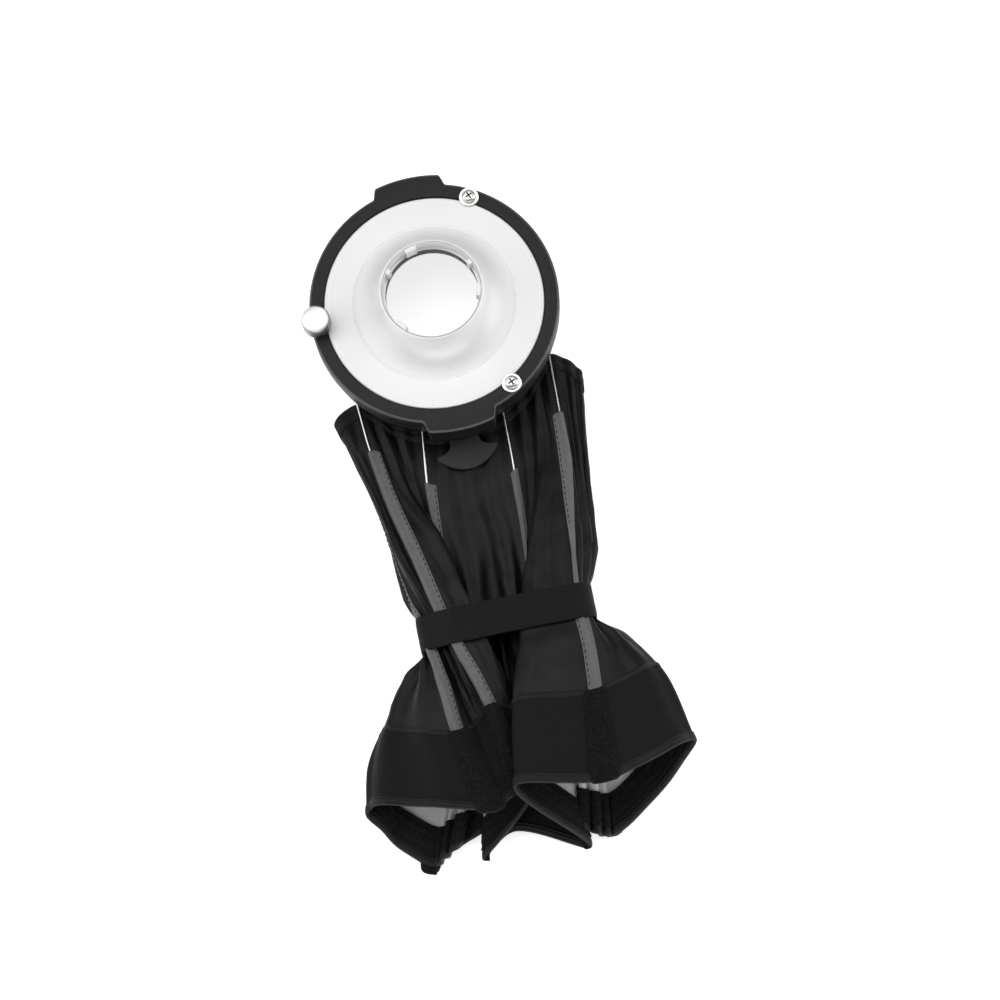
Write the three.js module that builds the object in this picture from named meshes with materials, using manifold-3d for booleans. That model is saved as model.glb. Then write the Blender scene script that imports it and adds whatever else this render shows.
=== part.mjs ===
// A folding eight-rib snoot, packed flat: a speed ring lies face up with an aluminium adapter
// dish clamped in it, and the cloth funnel is gathered to one side and tied with an elastic band.
// Millimetres, +Z up. The parts are placed about the ring's axis, with the floor at Z = 0 and the
// bundle along -Y. At the end the whole group moves so that the origin is the middle of its
// underside.
import * as THREE from 'three';
import { mergeVertices } from 'three/addons/utils/BufferGeometryUtils.js';
import Module from 'manifold-3d';

const wasm = await Module();
wasm.setup();

// Driving dimensions
const GAP = 0.3;
const RING_FACE_Z = 41;
const FLANGE = { radius: 75.5, lobe: 81.5, base: 29.3 };
const HOUSING = { radius: 73.5, lobe: 79.5, base: 12, bore: 58 };
const PLATE = { radius: 68, bore: 46, top: 7 };
const LOBE_HALF_WIDTH = { tip: 21, root: 24 };
const SEAT = { radius: 66.6, ledgeRadius: 60, ledgeZ: 37.7 };
const DISH = { radius: 66.3, edge: 3, coneRadius: 48.2, collarRadius: 31.6, height: 25.7, wall: 1.7 };
const COLLAR = { outer: 29.6, lug: 27.2, recess: 28.6, length: 22.7, lugZone: 9 };
const POST = { count: 8, circle: 62, radius: 1.8 };
const RING_SCREW = { circle: 63, radius: 1.7, count: 4 };
const CLAMP_SCREW = { circle: 69.5, angles: [57.5, 297.3], head: 4.3, shank: 1.9, washer: 6 };
const THUMB = { circle: 71.5, angle: 176, radius: 8.7, height: 13.4, stud: 2.2 };
const TAB = { x: -4, bottom: 7.8, thickness: 3.4, inner: -50, outer: -98 };
const SPRING = { coil: 1.2, wire: 0.28, turns: 5 };
const WIRE_RADIUS = 1;
const SLEEVE = { outer: 2.2, bore: 1.6, start: 49, endGap: 3 };
const STRIP = { width: 15, thickness: 2.4 };
const ROUND_SIDES = 48;
const SKIRT_WALL = 2.2;
const LINING_WALL = 1.2;
const BAND = { x0: -61.3, x1: 46.3, z0: 0.2, z1: 45.4, wall: 1.5, corner: 4, width: 22, middle: -197.5, slant: -4.3 };

const material = (color, roughness, metalness = 0) =>
  new THREE.MeshStandardMaterial({ color, roughness, metalness });
const BLACK_METAL = material(0x17181a, 0.45, 0.3);
const BLACK_PLASTIC = material(0x1d1e20, 0.55);
const ALUMINIUM = material(0xd9dadb, 0.35, 1);
const NICKEL = material(0xc9c9c6, 0.25, 1);
const SPRING_STEEL = material(0xb9bbbd, 0.3, 1);
const BLACK_CLOTH = material(0x121213, 0.7);
const GREY_CLOTH = material(0x6c6d6e, 0.8);
const WHITE_CLOTH = material(0xeeeeec, 0.7);
const FUZZY_TAPE = material(0x0c0c0d, 0.95);
const WOVEN_BAND = material(0x18181a, 0.85);

const model = new THREE.Group();

function add(name, geometry, look) {
  const mesh = new THREE.Mesh(geometry, look);
  mesh.name = name;
  model.add(mesh);
}

// Closed meshes to solids and back

function toSolid(geometry) {
  const bare = geometry.clone();
  bare.deleteAttribute('normal');
  bare.deleteAttribute('uv');
  const merged = mergeVertices(bare, 1e-4);
  return new wasm.Manifold(new wasm.Mesh({
    numProp: 3,
    vertProperties: Float32Array.from(merged.attributes.position.array),
    triVerts: Uint32Array.from(merged.index.array),
  }));
}

function toGeometry(solid) {
  const mesh = solid.getMesh();
  const geometry = new THREE.BufferGeometry();
  geometry.setAttribute('position', new THREE.BufferAttribute(mesh.vertProperties, 3));
  geometry.setIndex(new THREE.BufferAttribute(mesh.triVerts, 1));
  return geometry;
}

function cut(base, ...tools) {
  return toGeometry(tools.reduce((solid, tool) => solid.subtract(toSolid(tool)), toSolid(base)));
}

function join(base, ...others) {
  return toGeometry(others.reduce((solid, other) => solid.add(toSolid(other)), toSolid(base)));
}

// Shape helpers

const polar = (radius, degrees) => {
  const angle = THREE.MathUtils.degToRad(degrees);
  return [radius * Math.cos(angle), radius * Math.sin(angle)];
};

function plate(shape, z0, z1, curveSegments = 18) {
  const geometry = new THREE.ExtrudeGeometry(shape, { depth: z1 - z0, bevelEnabled: false, curveSegments });
  return geometry.translate(0, 0, z0);
}

function drum(radius, z0, z1, x = 0, y = 0, sides = 24) {
  const geometry = new THREE.CylinderGeometry(radius, radius, z1 - z0, sides);
  return geometry.rotateX(Math.PI / 2).translate(x, y, (z0 + z1) / 2);
}

function turned(profile, sides = ROUND_SIDES) {
  const points = profile.map(([r, z]) => new THREE.Vector2(r, z));
  return new THREE.LatheGeometry(points, sides).rotateX(Math.PI / 2);
}

function tube(curve, radius, steps, sides, bore = 0) {
  const section = new THREE.Shape().absarc(0, 0, radius, 0, 2 * Math.PI);
  if (bore) section.holes.push(new THREE.Path().absarc(0, 0, bore, 0, 2 * Math.PI, true));
  return new THREE.ExtrudeGeometry(section, {
    steps, bevelEnabled: false, extrudePath: curve, curveSegments: Math.ceil(sides / 2),
  });
}

// A length of another curve, measured along it.
class Span extends THREE.Curve {
  constructor(curve, from, to) {
    super();
    Object.assign(this, { curve, from, to });
  }

  getPoint(t, target = new THREE.Vector3()) {
    const along = THREE.MathUtils.lerp(this.from, this.to, t) / this.curve.getLength();
    return this.curve.getPointAt(THREE.MathUtils.clamp(along, 0, 1), target);
  }
}

// A closed solid through upright rounded sections: each station is [y, x0, x1, z0, z1].
const SECTION_POINTS = 20;
const SECTION_ROUNDNESS = 0.55;

function loft(stations, inset = 0) {
  const positions = [];
  const indices = [];
  const power = (value) => Math.sign(value) * Math.abs(value) ** SECTION_ROUNDNESS;
  for (const [y, x0, x1, z0, z1] of stations) {
    for (let k = 0; k < SECTION_POINTS; k += 1) {
      const angle = (2 * Math.PI * k) / SECTION_POINTS;
      const x = (x0 + x1) / 2 + ((x1 - x0) / 2 - inset) * power(Math.cos(angle));
      const z = (z0 + z1) / 2 + ((z1 - z0) / 2 - inset) * power(Math.sin(angle));
      positions.push(x, y, z);
    }
  }
  const ring = (station, k) => station * SECTION_POINTS + (k % SECTION_POINTS);
  for (let station = 0; station + 1 < stations.length; station += 1) {
    for (let k = 0; k < SECTION_POINTS; k += 1) {
      const [a, b] = [ring(station, k), ring(station, k + 1)];
      const [c, d] = [ring(station + 1, k + 1), ring(station + 1, k)];
      indices.push(a, b, c, a, c, d);
    }
  }
  const last = stations.length - 1;
  for (let k = 1; k + 1 < SECTION_POINTS; k += 1) {
    indices.push(ring(0, 0), ring(0, k + 1), ring(0, k));
    indices.push(ring(last, 0), ring(last, k), ring(last, k + 1));
  }
  const geometry = new THREE.BufferGeometry();
  geometry.setAttribute('position', new THREE.Float32BufferAttribute(positions, 3));
  geometry.setIndex(indices);
  return geometry;
}

// A lofted pocket with an even wall, closed at the first station and open at the last.
function pocket(stations, inset, wall) {
  const MOUTH_OVERRUN = 6;
  const [first, ...rest] = stations;
  const outside = [[first[0] - inset, ...first.slice(1)], ...rest];
  const end = rest[rest.length - 1];
  const inside = [[first[0] - inset - wall, ...first.slice(1)], ...rest,
    [end[0] - MOUTH_OVERRUN, ...end.slice(1)]];
  return cut(loft(outside, inset), loft(inside, inset + wall));
}

// Speed ring: flange, housing, rear plate and what holds them together

function lobedOutline({ radius, lobe }) {
  const tip = Math.asin(LOBE_HALF_WIDTH.tip / lobe);
  const root = Math.asin(LOBE_HALF_WIDTH.root / radius);
  const quarter = Math.PI / 2;
  const shape = new THREE.Shape();
  shape.absarc(0, 0, radius, root - quarter, quarter - root);
  shape.absarc(0, 0, lobe, quarter - tip, quarter + tip);
  shape.absarc(0, 0, radius, quarter + root, 3 * quarter - root);
  shape.absarc(0, 0, lobe, 3 * quarter - tip, 3 * quarter + tip);
  return shape;
}

const ringScrewPlaces = Array.from({ length: RING_SCREW.count }, (_, k) => polar(RING_SCREW.circle, 45 + 90 * k));
const postPlaces = Array.from({ length: POST.count }, (_, k) => polar(POST.circle, 22.5 + 45 * k));
const clampPlaces = CLAMP_SCREW.angles.map((angle) => polar(CLAMP_SCREW.circle, angle));
const thumbPlace = polar(THUMB.circle, THUMB.angle);
const HOLE_CLEARANCE = 0.4;
const RING_SCREW_TOP = 35;
const CLAMP_SCREW_BOTTOM = 31.5;

function ringFlange() {
  const screwHoles = ringScrewPlaces.map(([x, y]) =>
    drum(RING_SCREW.radius + HOLE_CLEARANCE, FLANGE.base - 1, RING_SCREW_TOP + GAP, x, y, 12));
  const clampHoles = clampPlaces.map(([x, y]) =>
    drum(CLAMP_SCREW.shank + HOLE_CLEARANCE, CLAMP_SCREW_BOTTOM - 1, RING_FACE_Z + 1, x, y, 12));
  const thumbHole = drum(THUMB.stud + HOLE_CLEARANCE, CLAMP_SCREW_BOTTOM - 1, RING_FACE_Z + 1, ...thumbPlace, 12);
  add('ring_flange', cut(
    plate(lobedOutline(FLANGE), FLANGE.base, RING_FACE_Z),
    drum(SEAT.radius, SEAT.ledgeZ, RING_FACE_Z + 1, 0, 0, ROUND_SIDES),
    drum(SEAT.ledgeRadius, FLANGE.base - 1, RING_FACE_Z, 0, 0, ROUND_SIDES),
    ...screwHoles, ...clampHoles, thumbHole,
  ), BLACK_METAL);
}

function ringHousing() {
  const top = FLANGE.base - GAP;
  const screwHoles = ringScrewPlaces.map(([x, y]) =>
    drum(RING_SCREW.radius + HOLE_CLEARANCE, HOUSING.base - 1, top + 1, x, y, 12));
  add('ring_housing', cut(
    plate(lobedOutline(HOUSING), HOUSING.base, top),
    drum(HOUSING.bore, HOUSING.base - 1, top + 1, 0, 0, ROUND_SIDES),
    ...screwHoles,
  ), BLACK_METAL);
}

function rearPlate() {
  const HEAD_RECESS = { radius: 3.6, depth: 2.4 };
  const screwHoles = ringScrewPlaces.map(([x, y]) =>
    drum(RING_SCREW.radius + HOLE_CLEARANCE, -1, PLATE.top + 1, x, y, 12));
  const headRecesses = ringScrewPlaces.map(([x, y]) => drum(HEAD_RECESS.radius, -1, HEAD_RECESS.depth, x, y, 12));
  const disc = cut(
    drum(PLATE.radius, 0, PLATE.top, 0, 0, ROUND_SIDES),
    drum(PLATE.bore, -1, PLATE.top + 1, 0, 0, ROUND_SIDES),
    ...screwHoles, ...headRecesses,
  );
  const posts = postPlaces.map(([x, y]) => drum(POST.radius, PLATE.top - 1, HOUSING.base - GAP, x, y, 12));
  add('rear_plate', join(disc, ...posts), BLACK_PLASTIC);
}

function ringScrews() {
  const HEAD = { radius: 3.2, from: 0.4, to: 2 };
  ringScrewPlaces.forEach(([x, y], index) => {
    add(`ring_screw_${index + 1}`, turned([
      [0, HEAD.from], [HEAD.radius, HEAD.from], [HEAD.radius, HEAD.to], [RING_SCREW.radius, HEAD.to],
      [RING_SCREW.radius, RING_SCREW_TOP], [0, RING_SCREW_TOP],
    ], 12).translate(x, y, 0), NICKEL);
  });
}

// Adapter dish with its bayonet collar

const COLLAR_TOP = RING_FACE_Z + DISH.height;
const SET_SCREW = { angle: 40, radius: 1.2, below: 15 };

function radialDrum(radius, from, to, angle, z) {
  const geometry = new THREE.CylinderGeometry(radius, radius, to - from, 10).rotateZ(Math.PI / 2);
  geometry.translate((from + to) / 2, 0, 0).rotateZ(THREE.MathUtils.degToRad(angle));
  return geometry.translate(0, 0, z);
}

function adapterDish() {
  const CONE_TOP = RING_FACE_Z + 11.7;
  const bore = DISH.collarRadius - DISH.wall;
  const bottom = RING_FACE_Z - DISH.edge;
  const sweep = new THREE.QuadraticBezierCurve(
    new THREE.Vector2(DISH.coneRadius, RING_FACE_Z),
    new THREE.Vector2(DISH.collarRadius + 3, RING_FACE_Z + 2.5),
    new THREE.Vector2(DISH.collarRadius, CONE_TOP),
  ).getPoints(6).map((point) => [point.x, point.y]);
  const profile = [
    [bore, bottom + 4], [bore + 14, bottom], [DISH.radius, bottom], [DISH.radius, RING_FACE_Z],
    ...sweep, [DISH.collarRadius, COLLAR_TOP], [bore, COLLAR_TOP], [bore, bottom + 4],
  ];
  const screwZ = COLLAR_TOP - SET_SCREW.below;
  const hole = radialDrum(SET_SCREW.radius + HOLE_CLEARANCE, bore - 3, DISH.collarRadius + 8, SET_SCREW.angle, screwZ);
  add('adapter_dish', cut(turned(profile), hole), ALUMINIUM);
}

function bayonetCollar() {
  const RECESSES = [[24.7, 94.7], [108.7, 138.7], [144.7, 207.7], [223.7, 336.7], [351.7, 378.7]];
  const bottom = COLLAR_TOP - COLLAR.length;
  const sector = ([from, to]) => {
    const [start, end] = [from, to].map(THREE.MathUtils.degToRad);
    const shape = new THREE.Shape();
    shape.absarc(0, 0, COLLAR.recess, start, end);
    shape.absarc(0, 0, COLLAR.lug - 3, end, start, true);
    return plate(shape, COLLAR_TOP - COLLAR.lugZone, COLLAR_TOP + 1, 12);
  };
  const screwZ = COLLAR_TOP - SET_SCREW.below;
  const hole = radialDrum(
    SET_SCREW.radius + HOLE_CLEARANCE, COLLAR.lug - 3, COLLAR.outer + 1, SET_SCREW.angle, screwZ);
  const ring = turned([
    [COLLAR.lug, bottom], [COLLAR.outer, bottom], [COLLAR.outer, COLLAR_TOP],
    [COLLAR.lug, COLLAR_TOP], [COLLAR.lug, bottom],
  ]);
  add('bayonet_collar', cut(ring, ...RECESSES.map(sector), hole), ALUMINIUM);
  add('collar_set_screw',
    radialDrum(SET_SCREW.radius, COLLAR.lug + 0.3, DISH.collarRadius - 0.2, SET_SCREW.angle, screwZ), NICKEL);
}

// Fasteners on the flange

function clampScrews() {
  const washerTop = RING_FACE_Z + GAP + 1;
  const headBase = washerTop + GAP;
  clampPlaces.forEach(([x, y], index) => {
    add(`clamp_washer_${index + 1}`, turned([
      [CLAMP_SCREW.shank + 0.5, RING_FACE_Z + GAP], [CLAMP_SCREW.washer, RING_FACE_Z + GAP],
      [CLAMP_SCREW.washer, washerTop], [CLAMP_SCREW.shank + 0.5, washerTop],
      [CLAMP_SCREW.shank + 0.5, RING_FACE_Z + GAP],
    ], 24).translate(x, y, 0), NICKEL);
    add(`clamp_screw_${index + 1}`, turned([
      [0, CLAMP_SCREW_BOTTOM], [CLAMP_SCREW.shank, CLAMP_SCREW_BOTTOM], [CLAMP_SCREW.shank, headBase],
      [CLAMP_SCREW.head, headBase], [CLAMP_SCREW.head, headBase + 1.3], [CLAMP_SCREW.head - 1, headBase + 2.3],
      [1.6, headBase + 2.8], [0, headBase + 2.8],
    ], 20).translate(x, y, 0), NICKEL);
  });
}

function thumbScrew() {
  const base = RING_FACE_Z + GAP;
  const top = base + THUMB.height;
  const STUD_TOP = base + 7;
  const bore = drum(THUMB.stud + GAP, base - 1, STUD_TOP + GAP, 0, 0, 12);
  const body = turned([
    [0, base], [THUMB.radius - 1, base], [THUMB.radius, base + 1], [THUMB.radius, top - 1],
    [THUMB.radius - 1, top], [0, top],
  ], 36);
  add('thumb_knob', cut(body, bore).translate(...thumbPlace, 0), ALUMINIUM);
  add('thumb_stud', drum(THUMB.stud, CLAMP_SCREW_BOTTOM, STUD_TOP, ...thumbPlace, 12), NICKEL);
}

// Anchor-shaped release tab with its guide pin and return spring

const TAB_WINDOW = { halfWidth: 2.6, inner: -53, outer: -67 };
const TAB_PIN = { y: -56, radius: 1.8 };

function releaseTab() {
  const NECK_HALF = 9;
  const WING_HALF = 18;
  const WING_Y = -88;
  const NECK_END = -80;
  const shape = new THREE.Shape();
  shape.moveTo(NECK_HALF, TAB.inner);
  shape.lineTo(-NECK_HALF, TAB.inner);
  shape.lineTo(-NECK_HALF, NECK_END);
  shape.quadraticCurveTo(-NECK_HALF, WING_Y + 3, -WING_HALF, WING_Y + 2);
  shape.quadraticCurveTo(-WING_HALF - 1.5, WING_Y, -WING_HALF + 1, WING_Y - 2);
  shape.quadraticCurveTo(-WING_HALF / 2, TAB.outer, 0, TAB.outer);
  shape.quadraticCurveTo(WING_HALF / 2, TAB.outer, WING_HALF - 1, WING_Y - 2);
  shape.quadraticCurveTo(WING_HALF + 1.5, WING_Y, WING_HALF, WING_Y + 2);
  shape.quadraticCurveTo(NECK_HALF, WING_Y + 3, NECK_HALF, NECK_END);
  const tabWindow = new THREE.Path();
  const { halfWidth, inner, outer } = TAB_WINDOW;
  tabWindow.moveTo(-halfWidth, inner).lineTo(-halfWidth, outer).lineTo(halfWidth, outer).lineTo(halfWidth, inner);
  shape.holes.push(tabWindow);
  const body = plate(shape, TAB.bottom, TAB.bottom + TAB.thickness, 8);
  add('release_tab', body.translate(TAB.x, 0, 0), BLACK_PLASTIC);
  add('tab_guide_pin', drum(TAB_PIN.radius, PLATE.top + GAP, HOUSING.base - GAP, TAB.x, TAB_PIN.y, 12), NICKEL);
}

class Helix extends THREE.Curve {
  getPoint(t, target = new THREE.Vector3()) {
    const angle = 2 * Math.PI * SPRING.turns * t;
    const start = TAB_PIN.y - TAB_PIN.radius - SPRING.wire - GAP;
    const end = TAB_WINDOW.outer + SPRING.wire + GAP;
    return target.set(
      TAB.x + SPRING.coil * Math.cos(angle),
      THREE.MathUtils.lerp(start, end, t),
      TAB.bottom + TAB.thickness / 2 + SPRING.coil * Math.sin(angle),
    );
  }
}

function tabSpring() {
  add('tab_spring', tube(new Helix(), SPRING.wire, SPRING.turns * 8, 5), SPRING_STEEL);
}

// Ribs: a spring wire, its sleeve and a fuzzy strip beyond its tip.
// Ribs 1 to 4 are hooked on the ring's posts; 0, 5, 6 and 7 lie loose along the underside.
const RIBS = [
  { route: [[-68, -60, 2.6], [-69, -88, 4.2], [-66, -120, 12], [-63, -150, 20],
    [-57, -181, 28], [-54, -202, 34], [-54, -251, 44]],
  strip: [[-53, -258, 47], [-46, -300, 51]] },
  { route: [[-57.9, -26.2, 9.5], [-62, -43.5, 9.5], [-60.6, -71, 11.8], [-56, -107, 18], [-51, -137, 26],
    [-44, -181, 36], [-39, -206, 40.6], [-32, -227, 45.5], [-23, -248, 50]],
  strip: [[-22, -256, 53], [-23, -290, 53.5]] },
  { route: [[-24.5, -59.8, 9.5], [-29, -70, 9.5], [-32, -100.5, 12.6], [-34, -136, 16.2],
    [-38, -180, 16.2], [-42, -230, 16.2], [-48, -286, 16.2]],
  strip: [[-50, -294, 16.2], [-58, -326, 16.2]] },
  { route: [[23.5, -59.9, 9.5], [22.6, -70.7, 9.5], [19.4, -106.6, 13.2], [17.5, -136, 16.2],
    [12, -180, 16.2], [9, -230, 16.2], [9, -290, 16.2]],
  strip: [[9, -298, 16.2], [10, -335, 16.2]] },
  { route: [[57.5, -26.3, 9.5], [59.5, -48.3, 9.5], [56, -79, 12.8], [52, -109, 19], [47, -139, 27],
    [40, -175, 35], [37, -189, 38], [35, -211, 41], [33, -232, 45.5], [30, -253, 49]],
  strip: [[29, -261, 52], [21, -303, 55.5]] },
  { route: [[72, -66, 2.6], [64, -105, 2.7], [54, -150, 4], [40, -196, 4.4],
    [36, -235, 3.6], [28, -276, 2.6]],
  strip: [[27, -284, 2.6], [20, -328, 2.6]] },
  { route: [[22, -72, 2.6], [20, -105, 3.2], [15, -150, 4], [8, -197, 4.4], [2, -250, 3.6], [-4, -300, 2.6]],
    strip: [[-5, -308, 2.6], [-8, -334, 2.6]] },
  { route: [[-26, -72, 2.6], [-33, -105, 3.2], [-38, -150, 4], [-42, -197, 4.4], [-60, -250, 3.6],
    [-74, -290, 2.6]],
  strip: [[-77, -297, 2.6], [-86, -320, 2.6]] },
];

function boxBetween(from, to, width, thickness) {
  const [start, end] = [from, to].map((point) => new THREE.Vector3(...point));
  const frame = new THREE.Object3D();
  frame.up.set(0, 0, 1);
  frame.position.copy(start);
  frame.lookAt(end);
  frame.updateMatrix();
  const length = start.distanceTo(end);
  return new THREE.BoxGeometry(width, thickness, length).translate(0, 0, length / 2).applyMatrix4(frame.matrix);
}

function ribs() {
  RIBS.forEach(({ route, strip }, index) => {
    const curve = new THREE.CatmullRomCurve3(route.map((point) => new THREE.Vector3(...point)));
    curve.arcLengthDivisions = 400;
    const length = curve.getLength();
    add(`wire_${index}`, tube(new Span(curve, 0, length), WIRE_RADIUS, 16, 6), SPRING_STEEL);
    add(`sleeve_${index}`,
      tube(new Span(curve, SLEEVE.start, length - SLEEVE.endGap), SLEEVE.outer, 12, 6, SLEEVE.bore), GREY_CLOTH);
    add(`strip_${index}`, boxBetween(strip[0], strip[1], STRIP.width, STRIP.thickness), FUZZY_TAPE);
  });
}

// Canopy: the gathered cloth, as plain closed solids between the ribs' layers.
// Each station is [y, x0, x1, z0, z1].
const SKIRT_LEFT = [
  [-214.3, -50, -9, 18.8, 32], [-233, -90, -24, 18.8, 36.5], [-263, -108, -30, 18.8, 42],
  [-290, -113, -33, 18.8, 46],
];
const SKIRT_RIGHT = [
  [-214.3, -6, 41, 18.8, 33.5], [-233, -16, 62, 18.8, 38], [-263, -24, 70, 18.8, 44],
  [-295, -28, 76, 18.8, 50],
];

function canopyNeck() {
  const NECK = { bottom: 5.2, top: 7.4 };
  const corners = [
    [-75, -48], [-66, -44], [-58, -58], [-40, -72], [0, -82], [40, -72], [56, -62], [64, -58],
    [74, -61], [67, -99], [-61, -99], [-64, -80], [-73, -66],
  ];
  const shape = new THREE.Shape(corners.map(([x, y]) => new THREE.Vector2(x, y)));
  add('canopy_neck', plate(shape, NECK.bottom, NECK.top), BLACK_CLOTH);
  const HEM_INWARD = 0.95;
  const hemZ = (NECK.bottom + NECK.top) / 2;
  const hemLine = corners.slice(1, 8).map(([x, y]) => new THREE.Vector3(HEM_INWARD * x, HEM_INWARD * y, hemZ));
  add('rear_hem', tube(new THREE.CatmullRomCurve3(hemLine), 1.1, 30, 6), BLACK_CLOTH);
}

function canopy() {
  canopyNeck();
  add('canopy_core', loft([
    [-100, -60, 62, 7.1, 9.4], [-136, -56, 56, 7.1, 13], [-182, -51, 43, 7.1, 13], [-212, -50, 40, 7.1, 13],
    [-250, -92, 60, 7, 12.6], [-290, -108, 72, 6.6, 12], [-325, -84, 26, 6, 11],
  ]), BLACK_CLOTH);
  add('canopy_fold_left', loft([
    [-125, -58, -42, 18.8, 20.5], [-150, -56, -28, 18.8, 26.2], [-182, -51, -9, 18.8, 33],
    [-214, -50, -9, 18.8, 33],
  ]), BLACK_CLOTH);
  add('canopy_fold_right', loft([
    [-125, 42, 56, 18.8, 20.3], [-150, 22, 53, 18.8, 26.2], [-182, -6, 43, 18.8, 33],
    [-214, -6, 40, 18.8, 34],
  ]), BLACK_CLOTH);
  const HEM_LENGTH = 4;
  for (const [side, stations] of [['left', SKIRT_LEFT], ['right', SKIRT_RIGHT]]) {
    add(`canopy_skirt_${side}`, pocket(stations, 0, SKIRT_WALL), BLACK_CLOTH);
    add(`lining_${side}`, pocket(stations, SKIRT_WALL + GAP, LINING_WALL), WHITE_CLOTH);
    const [y, ...sides] = stations[stations.length - 1];
    const hem = [[y - GAP, ...sides], [y - GAP - HEM_LENGTH, ...sides]];
    const opening = [[y + 1, ...sides], [y - GAP - HEM_LENGTH - 1, ...sides]];
    add(`front_hem_${side}`, cut(loft(hem, -0.5), loft(opening, SKIRT_WALL)), BLACK_CLOTH);
  }
}

function elasticBand() {
  const loop = (x0, x1, z0, z1, corner) => {
    const path = new THREE.Path();
    path.absarc(x1 - corner, z1 - corner, corner, 0, Math.PI / 2);
    path.absarc(x0 + corner, z1 - corner, corner, Math.PI / 2, Math.PI);
    path.absarc(x0 + corner, z0 + corner, corner, Math.PI, 1.5 * Math.PI);
    path.absarc(x1 - corner, z0 + corner, corner, 1.5 * Math.PI, 2 * Math.PI);
    return path.getPoints(4);
  };
  const { x0, x1, z0, z1, wall, corner, width, middle, slant } = BAND;
  const shape = new THREE.Shape(loop(x0, x1, z0, z1, corner + wall));
  shape.holes.push(new THREE.Path(loop(x0 + wall, x1 - wall, z0 + wall, z1 - wall, corner)));
  const geometry = plate(shape, -width / 2, width / 2).rotateX(Math.PI / 2);
  const centreX = (x0 + x1) / 2;
  geometry.translate(-centreX, 0, 0).rotateZ(THREE.MathUtils.degToRad(slant)).translate(centreX, middle, 0);
  add('elastic_band', geometry, WOVEN_BAND);
}

ringFlange();
ringHousing();
rearPlate();
ringScrews();
adapterDish();
bayonetCollar();
clampScrews();
thumbScrew();
releaseTab();
tabSpring();
ribs();
canopy();
elasticBand();

const bounds = new THREE.Box3().setFromObject(model, true);
const middle = bounds.getCenter(new THREE.Vector3());
model.position.set(-middle.x, -middle.y, -bounds.min.z);

export default model;
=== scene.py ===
import math

import bpy
import numpy as np
from mathutils import Matrix, Vector, noise


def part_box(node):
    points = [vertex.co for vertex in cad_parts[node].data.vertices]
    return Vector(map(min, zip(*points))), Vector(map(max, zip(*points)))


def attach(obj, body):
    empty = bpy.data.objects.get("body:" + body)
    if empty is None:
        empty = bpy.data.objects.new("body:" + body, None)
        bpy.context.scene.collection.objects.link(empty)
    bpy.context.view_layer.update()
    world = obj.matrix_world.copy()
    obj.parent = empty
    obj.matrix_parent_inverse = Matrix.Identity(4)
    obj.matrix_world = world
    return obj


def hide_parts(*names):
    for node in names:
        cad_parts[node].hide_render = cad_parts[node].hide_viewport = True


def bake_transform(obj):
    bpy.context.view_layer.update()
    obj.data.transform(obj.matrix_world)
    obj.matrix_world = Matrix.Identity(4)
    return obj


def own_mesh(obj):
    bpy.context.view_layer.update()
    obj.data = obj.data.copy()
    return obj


# A folding eight-rib cloth snoot, packed flat beside its speed ring and tied with an elastic band.
# Lengths are millimetres about the ring's axis, with the floor at z = 0, until place() turns them
# into the row frame's metres. The floor, the sizes of lights and every material are in metres.

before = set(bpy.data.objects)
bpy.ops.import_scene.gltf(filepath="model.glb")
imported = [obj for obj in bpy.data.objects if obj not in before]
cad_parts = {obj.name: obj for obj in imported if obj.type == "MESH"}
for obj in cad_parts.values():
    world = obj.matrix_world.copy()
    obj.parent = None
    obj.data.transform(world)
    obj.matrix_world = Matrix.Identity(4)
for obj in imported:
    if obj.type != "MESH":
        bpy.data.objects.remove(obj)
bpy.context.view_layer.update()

MM = 0.001
TURN = 2 * math.pi
RIBS = 8
dish_low, dish_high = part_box("adapter_dish")
AXIS = (dish_low + dish_high) / 2


def place(x, y, z):
    return Vector((AXIS.x + x * MM, AXIS.y + y * MM, z * MM))


def place_all(points):
    return np.asarray(points, float) * MM + np.array([AXIS.x, AXIS.y, 0.0])


def add_object(name, data):
    thing = bpy.data.objects.new(name, data)
    bpy.context.scene.collection.objects.link(thing)
    return thing


# Camera, floor and light

CAMERA = {"target": (7.34, -118.91, 0.0), "distance": 1849.84, "lens": 110.0, "sensor": 36.0}
AZIMUTH, ELEVATION, ROLL = (math.radians(a) for a in (-4.862, 75.809, -10.481))
FLOOR = {"half_side": 9.0, "z": -0.0005, "white": 0.93, "glow": 0.7}
WORLD_STRENGTH = 0.12
LIGHT_TARGET = (0, -120, 0)
# Each light: where it stands, its two sides in metres, and its watts.
LIGHTS = {
    "overhead": ((-100, 400, 1500), (1.6, 1.2), 11),
    "left_side": ((-1300, 100, 800), (1.4, 1.4), 9),
    "right_side": ((1300, -200, 800), (1.0, 1.6), 10),
    "front": ((-100, -1500, 320), (1.6, 0.5), 8),
}


def make_camera():
    level = math.cos(ELEVATION)
    back = Vector((math.sin(AZIMUTH) * level, -math.cos(AZIMUTH) * level, math.sin(ELEVATION)))
    right = Vector((0, 0, 1)).cross(back).normalized()
    up = back.cross(right)
    x = math.cos(ROLL) * right + math.sin(ROLL) * up
    y = -math.sin(ROLL) * right + math.cos(ROLL) * up
    data = bpy.data.cameras.new("camera")
    data.lens = CAMERA["lens"]
    data.sensor_width = CAMERA["sensor"]
    data.clip_start, data.clip_end = 0.05, 50.0
    camera = add_object("camera", data)
    camera.matrix_world = Matrix((x, y, back)).transposed().to_4x4()
    camera.location = place(*CAMERA["target"]) + back * CAMERA["distance"] * MM
    bpy.context.scene.camera = camera


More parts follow.
